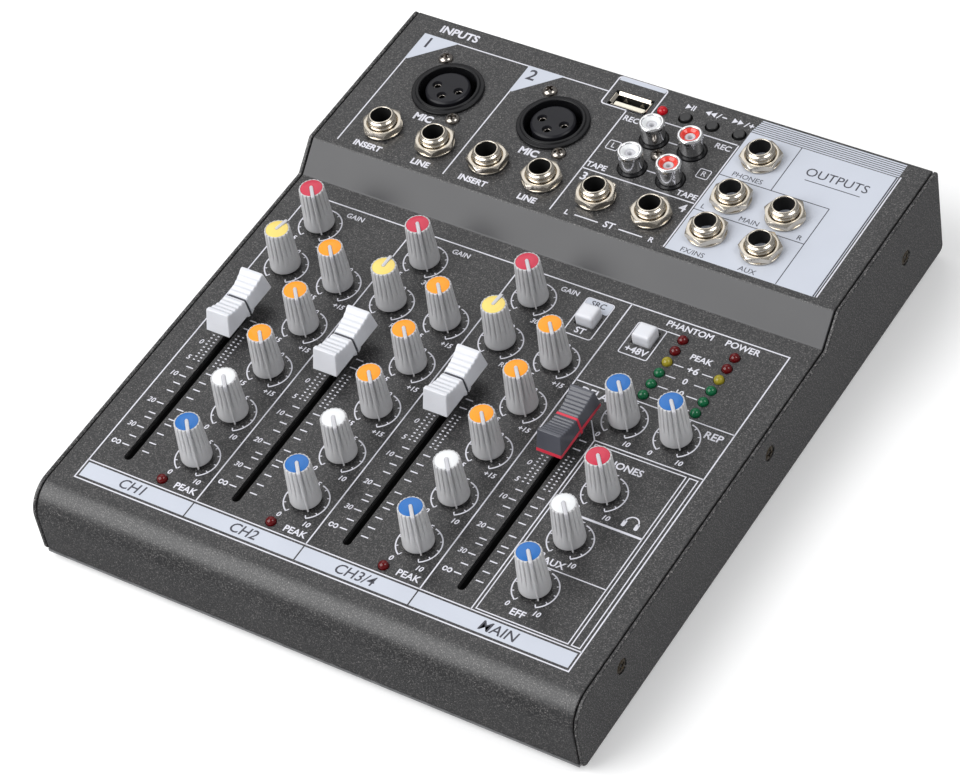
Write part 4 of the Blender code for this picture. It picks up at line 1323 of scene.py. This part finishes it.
def meter_print(shape):
    """Printing round the buttons and the level lamps."""
    z = CONTROL_Z
    frame_line(shape, 19.2, 29.3, 130.2, 146.6, BOX, z, 1.0)
    frame_line(shape, 39.7, 50.0, 129.9, 143.7, BOX, z, 0.6)
    stroke(shape, [(50.0, 143.7), (54.8, 143.7)], BOX, z)
    labels(shape, z, BOLD, ("ST", 24.2, 132.6, 2.4), ("+48V", 44.9, 132.3, 2.6),
           ("PHANTOM", 56.4, 147.0, 2.4), ("POWER", 75.3, 147.0, 2.45), ("PEAK", 65.8, 137.3, 2.3),
           ("+6", 65.6, 132.2, 2.7), ("0", 65.6, 127.2, 2.3), ("-10", 65.6, 122.2, 2.3),
           ("-20", 65.6, 117.1, 2.3))
    for y in METER_LINES:
        strokes(shape, 0.35, z, [(58.7, y), (62.2, y)], [(68.9, y), (72.7, y)])


def section_print(shape):
    """Printing of the delay and phones sections, to the right of the last divider."""
    z = CONTROL_Z
    corner = (CORNER_X, CORNER_Y)
    strokes(shape, RULE, z, [(DIVIDERS[2], DELAY_LINE), (FRAME_X, DELAY_LINE)],
            [(CORNER_X, STRIP_TOP), corner, (FRAME_X, CORNER_Y)], [corner, (46.9, 101.2)])
    for sides in (PHONES_BOX, STRIPE_BOX):
        frame_line(shape, *sides, *BOX_ENDS, BOX, z)
    for y, width in ((65.9, 0.8), (44.4, BOX)):
        stroke(shape, [(x, y) for x in PHONES_BOX], width, z)
    labels(shape, z, BOLD, ("DELAY", 43.4, 110.9, 2.9), ("REP", 85.0, 110.6, 2.8),
           ("PHONES", 65.6, 88.3, 2.6), ("AUX", 65.6, 46.6, 2.5), ("EFF", 65.6, 25.4, 2.5))
    across, along = HEADPHONES
    turns = [math.pi * i / 16 for i in range(17)]
    stroke(shape, [(across + 2.3 * math.cos(turn), along + 2.5 * math.sin(turn)) for turn in turns], 0.45, z)
    for sign in (-1, 1):
        patch(shape, [(across + sign * 2.2 + x, along - 0.7 + y) for x, y in rectangle(1.3, 2.6, 0.5)], z)


def strip_print(shape):
    """The pale label strip, in four fields."""
    edges = (-FRAME_X + 0.9, *DIVIDERS, FRAME_X - 0.9)
    for i in range(4):
        low, high = edges[i] + 0.25 * (i > 0), edges[i + 1] - 0.25 * (i < 3)
        patch(shape, [(low, STRIP[0]), (high, STRIP[0]), (high, STRIP[1]), (low, STRIP[1])], CONTROL_Z)
    patch(shape, [(24.25 + x, 144.0 + y) for x, y in rectangle(9.6, 4.7, 0.8)], CONTROL_Z)


def strip_words(shape):
    """Dark words on the pale strip and tag."""
    z = CONTROL_Z + INK
    for words, x in (("CH1", -70.8), ("CH2", -28.4), ("CH3/4", 12.7), ("MAIN", 63.8)):
        label(shape, words, x, 17.0, 3.7, z, weight=0.012, slant=SLANT)
    label(shape, "SRC", 24.2, 144.6, 2.2, z, weight=0.02)


def connector_print(shape):
    """White printing on the connector panel."""
    z, foot = CONNECTOR_Z, CONNECTOR_FOOT
    strokes(shape, BORDER, z, ((-90.5, 224.6), (-17.4, 224.6)), ((-90.2, foot), (-90.2, 212.0)),
            ((-48.3, foot), (-48.3, 212.0)), ((-7.1, foot), (-7.1, 218.8)),
            ((-7.1, 189.6), (34.9, 189.6)), ((-7.1, 218.8), (34.9, 218.8)),
            ((35.4, 168.6), (35.4, 218.8)), ((FRAME_X, 168.6), (FRAME_X, 226.6)),
            ((1.7, 169.6), (10.5, 169.6)), ((18.2, 169.6), (27.0, 169.6)),
            ((13.3, 196.7), (16.6, 196.7)), ((13.3, 211.1), (16.6, 211.1)))
    for across in (0.0, PITCH):
        label(shape, "MIC", -68.6 + across, 188.6, 2.9, z, weight=0.06)
        labels(shape, z, 0.05, ("INSERT", -78.95 + across, 169.7, 2.35),
               ("LINE", -58.05 + across, 169.7, 2.4))
    labels(shape, z, BOLD, ("L", -1.3, 169.6, 2.1), ("ST", 14.5, 169.8, 2.6), ("R", 30.2, 169.6, 2.1),
           ("3", -4.5, 186.2, 3.4), ("4", 32.6, 186.2, 3.4), ("REC", 31.0, 216.0, 2.3),
           ("REC", -3.4, 215.5, 2.3), ("TAPE", 30.9, 191.9, 2.3), ("TAPE", -3.0, 191.9, 2.3))
    for words, x in (("L", -2.8), ("R", 31.2)):
        label(shape, words, x, 202.6, 2.2, z, weight=0.0)
        frame_line(shape, x - 2.1, x + 2.1, 200.6, 204.7, FINE, z, 0.6)
    label(shape, "INPUTS", -79.0, 228.9, 3.2, z, weight=0.045)
    player_print(shape)


def player_print(shape):
    """The box round the player's port, and generic signs over its keys."""
    z = CONNECTOR_Z
    frame_line(shape, -17.2, 1.3, 218.8, 232.6, 0.5, z, 1.2)
    middle_y, tall = 228.5, 1.2
    low, high = middle_y - tall, middle_y + tall

    def arrow(tip, base):
        patch(shape, [(base, low), (tip, middle_y), (base, high)], z)

    arrow(12.3, 10.4)
    strokes(shape, RULE, z, *([(x, low), (x, high)] for x in (12.7, 13.5)))
    for shift in (0.0, 2.0):
        arrow(17.6 + shift, 19.5 + shift)
        arrow(29.9 + shift, 28.0 + shift)
    strokes(shape, 0.4, z, *([(x - 0.5, low), (x + 0.5, high)] for x in (22.7, 33.1)))
    strokes(shape, 0.5, z, [(23.9, middle_y), (25.6, middle_y)], [(34.0, middle_y), (35.8, middle_y)])
    stroke(shape, [(34.9, middle_y - 0.9), (34.9, middle_y + 0.9)], 0.5, z + LAYER)


def output_patch(shape):
    """The pale field behind the output jacks with its striped back edge, and the other pale tags."""
    z = CONNECTOR_Z
    left, right, foot, top = FIELD
    patch(shape, [(left, foot), (right, foot), (right, top), (left, top)], z)
    for k in range(7):
        start, low = left + 0.2 * k, top + 0.35 + 0.9 * k
        high = low + 0.55
        patch(shape, [(start, low), (right, low), (right, high), (start, high)], z)
    for x in (-90.5, -48.6):
        patch(shape, [(x, 224.9), (x, 211.6), (x + 1.0, 211.6), (x + 14.0, 224.9)], z + LAYER)
    patch(shape, [(-16.6, 230.9), (0.7, 230.9), (0.9, 232.0), (0.5, 232.6), (-16.4, 232.6), (-16.8, 232.0)],
          z + LAYER)


def output_words(shape):
    """Dark lines and words on the pale field."""
    z = CONNECTOR_Z + INK
    left, _, foot, top = FIELD
    corner = (OUTPUT_RIGHT, OUTPUT_TOP)
    strokes(shape, FINE, z, [(54.9, OUTPUT_TOP), (54.9, top)], [(left, OUTPUT_TOP), corner],
            [(OUTPUT_RIGHT, 168.6), corner], [(left, 187.6), (OUTPUT_RIGHT, 187.6)])
    labels(shape, z, 0.0, ("PHONES", 45.2, 206.6, 2.05), ("L", 38.2, 189.6, 2.05),
           ("MAIN", 55.2, 189.4, 2.05), ("R", 73.4, 189.4, 2.05), ("FX/INS", 45.2, 170.0, 2.05),
           ("AUX", 65.0, 170.0, 2.05))
    for k, words in enumerate(("1", "2")):
        label(shape, words, -86.9 + 41.7 * k, 220.9, 4.8, z + LAYER)
    label(shape, "OUTPUTS", 72.5, 217.0, 3.6, z, weight=0.0)
    stroke(shape, [(62.5, 213.4), (82.5, 213.4)], FINE, z)
    stroke(shape, [(89.4, foot), (89.4, top)], 0.45, z)


def make_printing(kit):
    for name, build, item, slot in (
            ("control_printing", control_print, "ink", "print_white"),
            ("label_strip", strip_print, "pale", "print_white"),
            ("label_strip_words", strip_words, "dark", "powder_coat"),
            ("connector_printing", connector_print, "ink", "print_white"),
            ("output_field", output_patch, "pale", "print_white"),
            ("output_words", output_words, "dark", "powder_coat")):
        place(name, mesh_of(name, build, kit[item]), slot)


# ---------------------------------------------------------------- studio

def make_studio(kit):
    """A pale floor, soft light and the camera."""
    link = bpy.context.scene.collection.objects.link
    mesh = mesh_of("studio_floor", lambda shape: revolve(shape, FLOOR, steps=96), kit["floor"])
    backdrop = bpy.data.objects.new("studio_floor", mesh)
    link(backdrop)
    backdrop.visible_glossy = False

    world = bpy.data.worlds.new("studio")
    world.use_nodes = True
    background = world.node_tree.nodes["Background"]
    background.inputs["Color"].default_value = (0.97, 0.98, 1.0, 1.0)
    background.inputs["Strength"].default_value = 0.30
    bpy.context.scene.world = world

    for name, way, size, power in LIGHTS:
        data = bpy.data.lights.new(name, "AREA")
        data.shape = "SQUARE"
        data.size = size
        data.energy = power
        box = bpy.data.objects.new(name, data)
        link(box)
        box.location = Vector(AIM) + Vector(way).normalized() * LIGHT_REACH
        box.rotation_euler = (-Vector(way)).to_track_quat("-Z", "Y").to_euler()

    right, up = Vector(CAMERA_RIGHT), Vector(CAMERA_UP)
    back = right.cross(up).normalized()
    camera = bpy.data.objects.new("camera", bpy.data.cameras.new("camera"))
    link(camera)
    camera.data.sensor_width = 36.0
    camera.data.lens = LENS
    camera.data.clip_start = 0.01
    turn = Matrix((right, up, back)).transposed().to_4x4()
    camera.matrix_world = Matrix.Translation(CAMERA_PLACE) @ turn
    bpy.context.scene.camera = camera
    bpy.context.scene.view_settings.view_transform = "Standard"


KIT = make_finishes()
make_studio(KIT)
make_printing(KIT)
make_case(KIT)
make_screws(KIT)
make_knobs(KIT)
make_faders(KIT)
make_buttons(KIT)
make_jacks(KIT)
make_xlr_sockets(KIT)
make_rca_block(KIT)
make_usb_port(KIT)
make_power_inlet(KIT)
